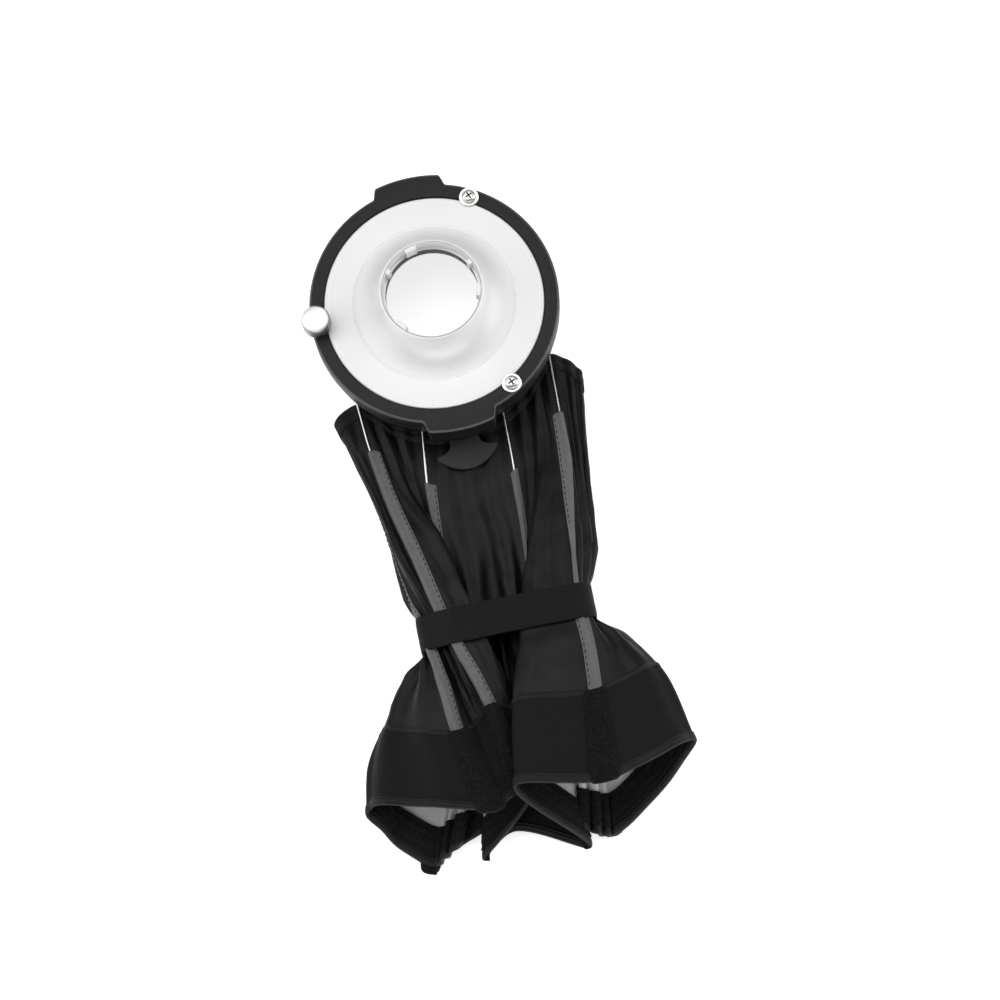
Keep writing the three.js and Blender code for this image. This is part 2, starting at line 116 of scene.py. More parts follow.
def make_light(name, position, size, watts):
    data = bpy.data.lights.new(name, "AREA")
    data.shape = "RECTANGLE"
    data.size, data.size_y = size
    data.energy = watts
    light = add_object(name, data)
    light.location = place(*position)
    direction = place(*LIGHT_TARGET) - light.location
    light.rotation_euler = direction.to_track_quat("-Z", "Y").to_euler()


def make_stage():
    half, white = FLOOR["half_side"], FLOOR["white"]
    mesh = bpy.data.meshes.new("floor")
    corners = [(-half, -half, 0), (half, -half, 0), (half, half, 0), (-half, half, 0)]
    mesh.from_pydata(corners, [], [(0, 1, 2, 3)])
    floor = add_object("floor", mesh)
    floor.location = (AXIS.x, AXIS.y, FLOOR["z"])
    n = Nodes("floor_white", Base_Color=(white, white, white, 1), Roughness=0.9,
              Emission_Color=(1, 1, 1, 1), Emission_Strength=FLOOR["glow"])
    mesh.materials.append(n.material)
    world = bpy.data.worlds.new("studio")
    bpy.context.scene.world = world
    world.use_nodes = True
    background = world.node_tree.nodes["Background"].inputs
    background["Color"].default_value = (1, 1, 1, 1)
    background["Strength"].default_value = WORLD_STRENGTH
    bpy.context.scene.view_settings.view_transform = "Standard"
    for name, settings in LIGHTS.items():
        make_light(name, *settings)


# Materials: every one on the object has its own colour variation and surface from nodes


class Nodes:
    """A new material, with short ways to add nodes to its tree and link them."""

    def __init__(self, name, **shader):
        self.material = bpy.data.materials.new(name)
        self.material.use_nodes = True
        self.tree = self.material.node_tree
        self.shader = self.tree.nodes["Principled BSDF"]
        for key, value in shader.items():
            self.shader.inputs[key.replace("_", " ")].default_value = value

    def add(self, kind, inputs=(), **settings):
        node = self.tree.nodes.new(kind)
        for key, value in settings.items():
            setattr(node, key, value)
        for key, value in dict(inputs).items():
            if isinstance(value, bpy.types.NodeSocket):
                self.tree.links.new(value, node.inputs[key])
            else:
                node.inputs[key].default_value = value
        return node

    def link(self, socket, key):
        self.tree.links.new(socket, self.shader.inputs[key])

    def position(self):
        return self.add("ShaderNodeTexCoord").outputs["Object"]

    def uv(self):
        return self.add("ShaderNodeTexCoord").outputs["UV"]

    def split(self, vector):
        return self.add("ShaderNodeSeparateXYZ", {"Vector": vector}).outputs

    def noise(self, vector, scale, detail=3.0, roughness=0.55):
        inputs = {"Vector": vector, "Scale": scale, "Detail": detail, "Roughness": roughness}
        return self.add("ShaderNodeTexNoise", inputs).outputs["Fac"]

    def math(self, operation, a, b=0.0, c=0.5):
        return self.add("ShaderNodeMath", {0: a, 1: b, 2: c}, operation=operation).outputs[0]

    def wave(self, value, rate):
        return self.math("SINE", self.math("MULTIPLY", value, rate))

    def weave(self, vector, threads_per_metre):
        """Height of a plain weave from two crossed waves."""
        across = self.split(vector)
        waves = [self.wave(across[k], threads_per_metre * TURN) for k in (0, 1)]
        return self.math("MULTIPLY", waves[0], waves[1])

    def ramp(self, fac, low, high):
        """Maps 0..1 to two colours or two greys."""
        node = self.add("ShaderNodeValToRGB", {"Fac": fac})
        for element, v in zip(node.color_ramp.elements, (low, high)):
            element.color = (v, v, v, 1) if isinstance(v, float) else (*v, 1)
        return node.outputs["Color"]

    def mix(self, fac, a, b):
        colours = {"Factor": fac, 6: (*a, 1), 7: (*b, 1)}
        return self.add("ShaderNodeMix", colours, data_type="RGBA").outputs[2]

    def bump(self, layers):
        """layers are (height socket, strength, distance), coarse to fine."""
        normal = None
        for height, strength, distance in layers:
            inputs = {"Height": height, "Strength": strength, "Distance": distance}
            if normal is not None:
                inputs["Normal"] = normal
            normal = self.add("ShaderNodeBump", inputs).outputs["Normal"]
        self.link(normal, "Normal")


def noisy(name, tint, rough, bumps, **shader):
    """A material that varies by noise. tint and rough are (scale, low, high[, detail]), and a bump
    is (scale, detail, strength, distance) or ("weave", threads a metre, strength, distance)."""
    n = Nodes(name, **shader)
    where = n.position()
    for key, (scale, low, high, *detail) in (("Base Color", tint), ("Roughness", rough)):
        n.link(n.ramp(n.noise(where, scale, *detail), low, high), key)
    layers = []
    for scale, detail, strength, distance in bumps:
        weave = scale == "weave"
        height = n.weave(n.uv(), detail) if weave else n.noise(where, scale, detail)
        layers.append((height, strength, distance))
    n.bump(layers)
    return n.material


def black_coat(name, low=(0.006, 0.0063, 0.0068), high=(0.0105, 0.011, 0.0118), gloss=0.0):
    rough = (300.0, 0.42 - 0.3 * gloss, 0.58 - 0.3 * gloss)
    return noisy(name, (60.0, low, high), rough, [(2600.0, 2.0, 0.18, 0.0004)],
                 Specular_IOR_Level=0.33 + gloss)


def plated_metal(name, color, roughness, grain=900.0):
    darker = tuple(0.8 * c for c in color)
    return noisy(name, (120.0, darker, color), (grain, roughness * 0.8, roughness * 1.3),
                 [(2 * grain, 1.0, 0.06, 0.0002)], Metallic=1.0)


def woven_tape(name, low, high, threads, roughness=0.8):
    return noisy(name, (420.0, low, high, 4.0), (200.0, roughness - 0.08, roughness + 0.08),
                 [(150.0, 3.0, 0.2, 0.0006), ("weave", threads, 0.45, 0.0002)],
                 Specular_IOR_Level=0.3)


def turned_aluminium(name):
    """Bright aluminium with fine concentric tool marks about the ring's axis."""
    n = Nodes(name, Metallic=0.45)
    spot = n.split(n.position())
    dx, dy = n.math("SUBTRACT", spot[0], AXIS.x), n.math("SUBTRACT", spot[1], AXIS.y)
    squares = n.math("ADD", n.math("MULTIPLY", dx, dx), n.math("MULTIPLY", dy, dy))
    radius = n.math("SQRT", squares)
    along = n.add("ShaderNodeCombineXYZ", {0: radius, 1: spot[2]}).outputs[0]
    marks = n.noise(along, 2400.0, 4.0, 0.7)
    n.link(n.ramp(marks, (0.86, 0.865, 0.87), (0.94, 0.94, 0.94)), "Base Color")
    n.link(n.ramp(n.noise(along, 700.0, 2.0), 0.5, 0.62), "Roughness")
    n.bump([(marks, 0.12, 0.0002)])
    return n.material


def lip_canvas(name):
    """Lip cloth: stiffer and duller, with the fine squared grid of a ripstop."""
    RIP_PITCH, RIP_SHARPNESS, THREADS = 0.0032, 18.0, 1300.0
    n = Nodes(name, Specular_IOR_Level=0.2)
    where, cloth = n.position(), n.uv()
    across = n.split(cloth)
    waves = [n.math("ABSOLUTE", n.wave(across[k], math.pi / RIP_PITCH)) for k in (0, 1)]
    grid = n.math("MAXIMUM", *(n.math("POWER", wave, RIP_SHARPNESS) for wave in waves))
    shade = n.mix(n.math("MULTIPLY", grid, 0.5), (0.0028, 0.0028, 0.0030), (0.0066, 0.0066, 0.0070))
    n.link(shade, "Base Color")
    n.link(n.ramp(n.noise(where, 120.0), 0.5, 0.66), "Roughness")
    n.bump([(n.noise(where, 70.0, 3.0), 0.25, 0.001), (grid, 0.15, 0.00015),
            (n.weave(cloth, THREADS), 0.3, 0.00015)])
    return n.material


def elastic_webbing(name):
    """Ribbed elastic: narrow cords along the band, crossed by close slanted weft lines."""
    WEFT_PITCH, CORD_PITCH, SLANT = 0.0011, 0.0014, 0.8
    n = Nodes(name, Specular_IOR_Level=0.25)
    where = n.position()
    across = n.split(n.uv())
    slanted = n.math("ADD", across[0], n.math("MULTIPLY", across[1], SLANT))
    weft, cords = n.wave(slanted, TURN / WEFT_PITCH), n.wave(across[1], TURN / CORD_PITCH)
    both = n.math("MULTIPLY", weft, cords)
    low, high = (0.0035, 0.0035, 0.0036), (0.013, 0.013, 0.0134)
    n.link(n.ramp(n.math("MULTIPLY_ADD", both, 0.5, 0.5), low, high), "Base Color")
    n.link(n.ramp(n.noise(where, 300.0), 0.68, 0.85), "Roughness")
    n.bump([(n.noise(where, 90.0), 0.2, 0.0008), (both, 0.6, 0.0003)])
    return n.material


def loop_pile(name):
    n = Nodes(name, Specular_IOR_Level=0.15, Roughness=0.95)
    where = n.position()
    tufts = n.noise(where, 950.0, 4.0, 0.8)
    sharp = n.math("MULTIPLY", n.math("POWER", tufts, 3.0), 3.0)
    n.link(n.ramp(sharp, (0.0015, 0.0015, 0.0015), (0.032, 0.032, 0.032)), "Base Color")
    n.bump([(n.noise(where, 260.0, 2.0), 0.6, 0.0015), (tufts, 1.0, 0.0012)])
    return n.material


RING_BLACK = black_coat("ring_black")
# The housing is the ring's own black, painted lighter so that its downward-facing side looks lit:
# painted light.
HOUSING_BLACK_PAINTED_LIGHT = black_coat("housing_black_painted_light", (0.017, 0.0175, 0.0185), (0.028, 0.0285, 0.030))
# The ring's bevelled edges take a lighter, glossier black: a painted highlight along them.
RING_EDGE_HIGHLIGHT = black_coat("ring_edge_painted_highlight", (0.03, 0.03, 0.031), (0.06, 0.06, 0.062), 0.4)
PLATE_BLACK = noisy(
    "plate_black", (45.0, (0.020, 0.0205, 0.022), (0.034, 0.035, 0.037)), (500.0, 0.5, 0.68),
    [(4200.0, 1.0, 0.25, 0.0003)], Specular_IOR_Level=0.4)
DISH_METAL = turned_aluminium("dish_aluminium")
KNOB_METAL = plated_metal("knob_aluminium", (0.82, 0.82, 0.825), 0.34)
# The knob's knurled side is drawn in a darker aluminium than its top: painted shade for the knurl's
# grooves.
KNURL_PAINTED_SHADE = plated_metal("knurled_aluminium_painted_shade", (0.40, 0.40, 0.41), 0.24)
NICKEL = plated_metal("fastener_nickel", (0.86, 0.845, 0.82), 0.33)
# Dark steel for the socket and grub screws; the same material lines the clamp screws' cross
# recesses as painted shade.
DARK_STEEL_AND_RECESS_SHADE = plated_metal("dark_steel_and_recess_shade", (0.10, 0.10, 0.11), 0.4)
# The lower bore of the bayonet throat is drawn dark grey: painted shade for the collar's shadowed
# far wall.
BORE_PAINTED_SHADE = black_coat("throat_painted_shade", (0.03, 0.03, 0.031), (0.05, 0.05, 0.051))
WIRE_STEEL = plated_metal("wire_steel", (0.80, 0.81, 0.83), 0.2, 1500.0)
# Canopy cloth: faintly glossy, with soft handling creases under a very fine weave.
CANOPY_BLACK = noisy(
    "canopy_black", (35.0, (0.0032, 0.0032, 0.0034), (0.0062, 0.0062, 0.0065)), (90.0, 0.34, 0.48),
    [(42.0, 0.6, 0.5, 0.004), (110.0, 3.0, 0.2, 0.0010), ("weave", 1500.0, 0.18, 0.00012)],
    Specular_IOR_Level=0.24)
LIP_BLACK = lip_canvas("lip_black")
HEM_BLACK = woven_tape("hem_black", (0.005, 0.005, 0.0052), (0.012, 0.012, 0.0125), 1100.0, 0.5)
SLEEVE_GREY = woven_tape("sleeve_grey", (0.125, 0.125, 0.124), (0.205, 0.205, 0.203), 1200.0)
THREAD_BLACK = woven_tape("thread_black", (0.010, 0.010, 0.010), (0.02, 0.02, 0.02), 2500.0)
LINING_WHITE = noisy(
    "lining_white", (40.0, (0.80, 0.80, 0.79), (0.90, 0.90, 0.89)), (120.0, 0.5, 0.65),
    [(110.0, 3.0, 0.3, 0.001), ("weave", 1300.0, 0.25, 0.00012)], Specular_IOR_Level=0.4)
FUZZY_BLACK = loop_pile("fuzzy_black")
BAND_BLACK = elastic_webbing("band_black")

# Mesh helpers. Points come in millimetres about the ring's axis.


def dress(mesh, material):
    mesh.materials.clear()
    mesh.materials.append(material)
    mesh.polygons.foreach_set("use_smooth", [True] * len(mesh.polygons))


def mesh_object(name, points, faces, material, uvs=None):
    mesh = bpy.data.meshes.new(name)
    mesh.from_pydata(place_all(points).tolist(), [], faces)
    dress(mesh, material)
    if uvs is not None:
        layer = mesh.uv_layers.new(name="cloth")
        index = np.zeros(len(mesh.loops), np.int32)
        mesh.loops.foreach_get("vertex_index", index)
        layer.data.foreach_set("uv", np.asarray(uvs, np.float32)[index].ravel())
    return add_object(name, mesh)


def sharpen(piece):
    """Keeps edges sharper than 30 degrees crisp."""
    piece.data.set_sharp_from_angle(angle=math.radians(30))
    return piece


def join(name, pieces):
    """Joins mesh objects into the first one."""
    for other in bpy.context.selected_objects:
        other.select_set(False)
    for piece in pieces:
        piece.select_set(True)
    bpy.context.view_layer.objects.active = pieces[0]
    bpy.ops.object.join()
    pieces[0].name = name
    return pieces[0]


def grid_faces(rows, columns, close_rows=False, close_columns=False):
    faces = []
    for i in range(rows if close_rows else rows - 1):
        here, after = i * columns, (i + 1) % rows * columns
        for j in range(columns if close_columns else columns - 1):
            beside = (j + 1) % columns
            faces.append((here + j, here + beside, after + beside, after + j))
    return faces


def round_turn(count):
    return np.linspace(0, TURN, count, endpoint=False)


def swept_points(angles, profile_at, centre):
    return [(centre[0] + r * math.cos(angle), centre[1] + r * math.sin(angle), z)
            for angle in angles for r, z in profile_at(angle)]


def swept_profile(name, angles, profile_at, material, centre=(0.0, 0.0), edges=(),
                  edge_material=None):
    """A closed profile of (radius, z) at each angle, swept once round an upright axis.
    edges names the profile's segments that take edge_material."""
    points = swept_points(angles, profile_at, centre)
    count = len(points) // len(angles)
    faces = grid_faces(len(angles), count, close_rows=True, close_columns=True)
    piece = mesh_object(name, points, faces, material)
    if edges:
        piece.data.materials.append(edge_material)
        slots = [int(k % count in edges) for k in range(len(faces))]
        piece.data.polygons.foreach_set("material_index", slots)
    return sharpen(piece)


def turned(name, profile, material, centre=(0.0, 0.0), segments=96, closed=False):
    """A lathe piece: an open profile starts and ends on the axis, a closed one makes a ring."""
    angles = round_turn(segments)
    if closed:
        return swept_profile(name, angles, lambda angle: profile, material, centre)
    (_, low), *inner, (_, high) = profile
    points = [(*centre, low), *swept_points(angles, lambda angle: inner, centre), (*centre, high)]
    last, count = len(points) - 1, len(inner)
    faces = []
    for i in range(segments):
        a, b = 1 + i * count, 1 + ((i + 1) % segments) * count
        faces.append((0, b, a))
        faces += [(a + k, b + k, b + k + 1, a + k + 1) for k in range(count - 1)]
        faces.append((a + count - 1, b + count - 1, last))
    return sharpen(mesh_object(name, points, faces, material))


def raised(base, profile):
    """A profile of (radius, height above the base)."""
    return [(r, base + z) for r, z in profile]


def cut_away(piece, cutter):
    modifier = piece.modifiers.new("cut", "BOOLEAN")
    modifier.operation = "DIFFERENCE"
    modifier.solver = "EXACT"
    modifier.object = cutter
    modifier.material_mode = "TRANSFER"
    bpy.context.view_layer.update()
    graph = bpy.context.evaluated_depsgraph_get()
    mesh = bpy.data.meshes.new_from_object(piece.evaluated_get(graph))
    piece.modifiers.clear()
    piece.data = mesh
    bpy.data.objects.remove(cutter)
    return sharpen(piece)


def rounded_plate(name, outlines, z0, z1, bevel, material):
    """A flat plate with holes: the first outline is the edge, the others are its holes."""
    curve = bpy.data.curves.new(name, "CURVE")
    curve.dimensions = "2D"
    curve.fill_mode = "BOTH"
    curve.extrude = (z1 - z0) / 2 * MM - bevel * MM
    curve.bevel_depth = bevel * MM
    curve.bevel_resolution = 2
    curve.offset = -bevel * MM
    for outline in outlines:
        spline = curve.splines.new("POLY")
        spline.points.add(len(outline) - 1)
        for point, (x, y) in zip(spline.points, outline):
            point.co = (AXIS.x + x * MM, AXIS.y + y * MM, 0, 1)
        spline.use_cyclic_u = True
    shape = add_object(name + "_shape", curve)
    graph = bpy.context.evaluated_depsgraph_get()
    mesh = bpy.data.meshes.new_from_object(shape.evaluated_get(graph))
    bpy.data.objects.remove(shape)
    mesh.transform(Matrix.Translation((0, 0, (z0 + z1) / 2 * MM)))
    dress(mesh, material)
    return sharpen(add_object(name, mesh))


def circle(radius, centre=(0.0, 0.0), count=96):
    return [(centre[0] + radius * math.cos(a), centre[1] + radius * math.sin(a))
            for a in round_turn(count)]


def polar(radius, degrees):
    return radius * math.cos(math.radians(degrees)), radius * math.sin(math.radians(degrees))


def quadratic(a, b, c, steps=8):
    """Points along a parabola from a, drawn towards b, to c; a itself is left out."""
    a, b, c = (np.array(p, float) for p in (a, b, c))
    return [tuple((1 - t) ** 2 * a + 2 * t * (1 - t) * b + t * t * c)
            for t in np.linspace(0, 1, steps + 1)[1:]]


def noise_at(x, y, z):
    return noise.noise(Vector((x, y, z)))


def walked(points):
    """Distance from the first point to each one, along the line through them."""
    return np.r_[0, np.cumsum(np.linalg.norm(np.diff(points, axis=0), axis=1))]


def read_off(at, length, values):
    """Each column of values, known at length, read at other distances."""
    return np.stack([np.interp(at, length, column) for column in values.T], axis=1)


def smooth_route(points, count):
    """Evenly spaced points on a centripetal spline through given ones."""
    SPAN_POINTS = 24
    p = np.asarray(points, float)
    p = np.vstack([2 * p[0] - p[1], p, 2 * p[-1] - p[-2]])
    spans = [spline_span(p[k:k + 4], SPAN_POINTS) for k in range(len(p) - 3)]
    dense = np.vstack([*spans, p[-2:-1]])
    length = walked(dense)
    return read_off(np.linspace(0, length[-1], count), length, dense)


def spline_span(four, steps):
    """Centripetal Catmull-Rom points from the second to the third of four points."""
    gaps = np.maximum(np.linalg.norm(np.diff(four, axis=0), axis=1), 1e-6) ** 0.5
    at = [0.0, gaps[0], gaps[0] + gaps[1], gaps[0] + gaps[1] + gaps[2]]
    t = np.linspace(at[1], at[2], steps, endpoint=False)[:, None]

    def between(first, last, a, b):
        span = at[last] - at[first]
        return (at[last] - t) / span * a + (t - at[first]) / span * b

    a = [between(k, k + 1, four[k], four[k + 1]) for k in range(3)]
    return between(1, 2, between(0, 2, a[0], a[1]), between(1, 3, a[1], a[2]))


def tube(name, points, radius, material, sides=12):
    """A round wire along a path, with domed ends."""
    END_SHARE = 0.55
    p = np.asarray(points, float)
    tangent = np.gradient(p, axis=0)
    tangent /= np.linalg.norm(tangent, axis=1)[:, None]
    side = np.cross(tangent[0], (0, 0, 1.0))
    if np.linalg.norm(side) < 1e-3:
        side = np.array([1.0, 0, 0])
    rings, radii = [], np.full(len(p), radius)
    radii[0] = radii[-1] = radius * END_SHARE
    angles = round_turn(sides)[:, None]
    for point, along, r in zip(p, tangent, radii):
        side = side - along * side.dot(along)
        side /= np.linalg.norm(side)
        up = np.cross(side, along)
        rings.append(point + r * (np.cos(angles) * side + np.sin(angles) * up))
    verts = np.vstack([*rings, p[:1], p[-1:]])
    faces = grid_faces(len(p), sides, close_columns=True)
    start, end, last = len(verts) - 2, len(verts) - 1, (len(p) - 1) * sides
    faces += [(start, (k + 1) % sides, k) for k in range(sides)]
    faces += [(end, last + k, last + (k + 1) % sides) for k in range(sides)]
    return mesh_object(name, verts, faces, material)


def finish_piece(piece, body, slot, *nodes):
    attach(piece, body)
    if nodes:
        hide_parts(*nodes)


# Speed ring

FLANGE_RADIUS, FLANGE_LOBE, FLANGE_LOW, FLANGE_TOP = 75.5, 81.5, 29.3, 41.0
SEAT, LEDGE, LEDGE_TOP = 66.75, 60.0, 37.7
HOUSING_RADIUS, HOUSING_LOBE, HOUSING_LOW, HOUSING_TOP, HOUSING_BORE = 73.5, 79.5, 12.0, 29.0, 58.0
LOBE_TIP, LOBE_ROOT = math.asin(19.2 / FLANGE_LOBE), math.asin(22.8 / FLANGE_RADIUS)
LOBE_TURN = math.radians(-2.5)


def lobed_radius(angle, radius, lobe):
    """The ring's outline: a circle with a lobe towards +Y and -Y."""
    off = abs(math.asin(max(-1.0, min(1.0, math.cos(angle - LOBE_TURN)))))
    t = min(1.0, max(0.0, (LOBE_ROOT - off) / (LOBE_ROOT - LOBE_TIP)))
    return radius + (lobe - radius) * t * t * (3 - 2 * t)


def ring_angles():
    """Even steps, with extra ones on the flanks of the lobes."""
    flanks = [centre + LOBE_TURN + side * off for centre in (math.pi / 2, 3 * math.pi / 2)
              for side in (-1, 1) for off in np.linspace(LOBE_TIP, LOBE_ROOT, 15)]
    return np.unique(np.round(np.r_[round_turn(360), flanks], 5))


def make_ring():
    def flange_profile(angle):
        r = lobed_radius(angle, FLANGE_RADIUS, FLANGE_LOBE)
        low = [(LEDGE, 0), (r - 0.6, 0), (r - 0.15, 0.2), (r, 0.7)]
        top = [(r, -1.2), (r - 0.2, -0.5), (r - 0.6, -0.12), (r - 1.3, 0), (SEAT + 0.6, 0),
               (SEAT, -0.5)]
        return [*raised(FLANGE_LOW, low), *raised(FLANGE_TOP, top), (SEAT, LEDGE_TOP),
                (LEDGE, LEDGE_TOP)]

    def housing_profile(angle):
        r = lobed_radius(angle, HOUSING_RADIUS, HOUSING_LOBE)
        low = [(HOUSING_BORE, 0.5), (HOUSING_BORE + 0.5, 0), (r - 1.2, 0), (r - 0.4, 0.4), (r, 1.2)]
        top = [(r + 0.35, -2.6), (r + 0.9, -2.2), (r + 0.9, -0.3), (r + 0.6, 0), (HOUSING_BORE, 0)]
        return [*raised(HOUSING_LOW, low), *raised(HOUSING_TOP, top)]

    angles = ring_angles()
    # The listed edge segments of flange and housing take the painted highlight material.
    flange = swept_profile("ring_flange_shell", angles, flange_profile, RING_BLACK,
                           edges=(1, 2, 4, 5, 6), edge_material=RING_EDGE_HIGHLIGHT)
    finish_piece(flange, "ring", "ring_black", "ring_flange")
    housing = swept_profile("ring_housing_shell", angles, housing_profile, HOUSING_BLACK_PAINTED_LIGHT,
                            edges=(2, 3, 5, 7), edge_material=RING_EDGE_HIGHLIGHT)
    finish_piece(housing, "ring", "ring_black", "ring_housing")


def make_rear_plate():
    PLATE_OUTER, PLATE_INNER, PLATE_TOP, HEAD_HOLE = 68.0, 46.0, 7.0, 3.6
    SCREW_CIRCLE, POST_CIRCLE = 63.0, 62.0
    screws = [polar(SCREW_CIRCLE, 45 + 90 * k) for k in range(4)]
    outlines = [circle(PLATE_OUTER, count=180), circle(PLATE_INNER, count=144)]
    outlines += [circle(HEAD_HOLE, centre, 32) for centre in screws]
    plate = rounded_plate("plate", outlines, 0.0, PLATE_TOP, 0.6, PLATE_BLACK)
    profile = [(0, 6.5), (2.6, 6.5), (2.4, 7.6), (1.8, 8.0), (1.8, 11.2), (1.4, 11.7), (0, 11.7)]
    posts = [turned("post", profile, PLATE_BLACK, polar(POST_CIRCLE, 22.5 + 45 * k), 24)
             for k in range(RIBS)]
    piece = join("rear_plate_moulding", [plate, *posts])
    finish_piece(piece, "ring", "plate_black", "rear_plate")
    profile = [(0, 0.5), (2.7, 0.5), (3.2, 1.0), (3.2, 2.4), (1.7, 2.4), (1.7, 34.8), (0, 34.8)]
    for k, centre in enumerate(screws, 1):
        screw = turned("ring_screw", profile, DARK_STEEL_AND_RECESS_SHADE, centre, 32)
        socket = turned("socket", [(0, -1), (1.6, -1), (1.6, 1.8), (0, 1.8)], DARK_STEEL_AND_RECESS_SHADE, centre, 6)
        screw = cut_away(screw, socket)
        screw.name = f"ring_socket_screw_{k}"
        finish_piece(screw, "ring", "fastener_nickel", f"ring_screw_{k}")


# Adapter dish and bayonet collar

DISH_Z, COLLAR_TOP = 41.0, 66.7


def make_dish():
    foot, pull, neck = raised(DISH_Z, [(47.4, 0), (35.2, 1.8), (31.6, 11.7)])
    groove = raised(DISH_Z, [(49.3, 0), (49.15, -0.35), (48.75, -0.35), (48.6, 0), (48.0, 0),
                             (47.9, -0.2), (47.6, -0.2)])
    rim = raised(COLLAR_TOP, [(31.6, -1.6), (31.0, -0.2), (30.6, 0), (30.1, 0), (29.9, -0.2)])
    profile = [(29.9, 44.0), (31.5, 41.6), (44.0, 38.0), (65.9, 38.0), (66.3, 38.4), (66.3, 40.4),
               (65.7, 41.0), (64.9, 41.0), (64.8, 40.85), (64.5, 40.85), (64.4, 41.0), *groove,
               foot, *quadratic(foot, pull, neck, 24), *rim]
    dish = turned("adapter_dish_turned", profile, DISH_METAL, segments=288, closed=True)
    finish_piece(dish, "adapter", "dish_aluminium", "adapter_dish")


def make_bayonet():
    """The throat ring: recesses between inward lugs, in its outer nine millimetres."""
    RECESSES = [(24.7, 94.7), (108.7, 138.7), (144.7, 207.7), (223.7, 336.7), (351.7, 378.7)]
    DEEP_RECESS, RECESS, LUG, OUTER, BORE = 29.35, 29.2, 26.9, 29.6, 28.0
    top, bottom, lug_foot = COLLAR_TOP, COLLAR_TOP - 17.4, COLLAR_TOP - 9.0
    stops = []
    for start, end in RECESSES:
        stops += [(start - 0.01, LUG), (start + 0.01, RECESS), (end - 0.01, RECESS),
                  (end + 0.01, LUG)]
    stops += [(254.7, RECESS), (254.72, DEEP_RECESS), (263.7, DEEP_RECESS), (263.72, RECESS)]
    marks, radii = np.array(sorted((angle % 360, radius) for angle, radius in stops)).T
    angles = np.unique(np.r_[np.arange(0, 360, 2.0), marks])

    def profile(angle):
        degrees = math.degrees(angle) % 360
        inner = radii[np.searchsorted(marks, degrees + 1e-6) - 1]
        return [(BORE, bottom + 0.4), (BORE + 0.4, bottom), (OUTER, bottom), (OUTER, top - 0.2),
                (OUTER - 0.1, top - 0.1), (inner + 0.2, top - 0.1), (inner, top - 0.3),
                (inner, lug_foot), (BORE, lug_foot - 0.3)]

    # The first and last profile segments, the lower bore, take the painted shade material.
    collar = swept_profile("bayonet_throat", np.radians(angles), profile, DISH_METAL,
                           edges=(0, 8), edge_material=BORE_PAINTED_SHADE)
    finish_piece(collar, "adapter", "dish_aluminium", "bayonet_collar")
    start, end = ((*polar(radius, 40), COLLAR_TOP - 15) for radius in (27.6, 31.4))
    grub = tube("grub_screw", np.linspace(start, end, 8), 1.2, DARK_STEEL_AND_RECESS_SHADE)
    finish_piece(grub, "adapter", "fastener_nickel", "collar_set_screw")


# Fasteners on the flange


def cross_cutter(centre, top, size):
    """Two tapered blades that cut a cross recess; their dark steel passes to the recess walls,
    painted shade in the nickel head.
    """
    BLADE_DEGREES, DEPTH, ABOVE = (20.0, 110.0), 2.1, 0.6
    blades = []
    for degrees in BLADE_DEGREES:
        c, s = polar(1.0, degrees)
        corners = []
        for z, length, width in ((top - DEPTH, 0.4 * size, 0.3), (top + ABOVE, size, 0.52)):
            for x, y in ((-length, -width), (length, -width), (length, width), (-length, width)):
                corners.append((centre[0] + x * c - y * s, centre[1] + x * s + y * c, z))
        faces = [(3, 2, 1, 0), (4, 5, 6, 7), (0, 1, 5, 4), (1, 2, 6, 5), (2, 3, 7, 6), (3, 0, 4, 7)]
        blades.append(mesh_object("blade", corners, faces, DARK_STEEL_AND_RECESS_SHADE))
    return blades


def make_clamp_screws():
    SCREW_CIRCLE, SCREW_DEGREES, HEAD_TOP = 69.5, (57.5, 297.3), 45.3
    washer_profile = [(2.4, 41.3), (5.7, 41.3), (6.0, 41.5), (6.0, 42.1), (5.7, 42.3), (2.4, 42.3)]
    dome = [(4.3 * math.cos(a) ** 0.6, 43.4 + 1.9 * math.sin(a))
            for a in np.linspace(0, math.pi / 2 - 0.1, 9)]
    profile = [(0, 31.6), (1.9, 31.6), (1.9, 42.45), (4.0, 42.45), (4.3, 42.7), *dome,
               (0, HEAD_TOP)]
    for k, degrees in enumerate(SCREW_DEGREES, 1):
        centre = polar(SCREW_CIRCLE, degrees)
        washer = turned(f"flat_washer_{k}", washer_profile, NICKEL, centre, 64, closed=True)
        finish_piece(washer, "ring", "fastener_nickel", f"clamp_washer_{k}")
        head = turned("pan_head", profile, NICKEL, centre, 64)
        # The blades leave their dark material on the recess walls: painted shade.
        for blade in cross_cutter(centre, HEAD_TOP, 2.7):
            head = cut_away(head, blade)
        head.name = f"pan_head_screw_{k}"
        finish_piece(head, "ring", "fastener_nickel", f"clamp_screw_{k}")


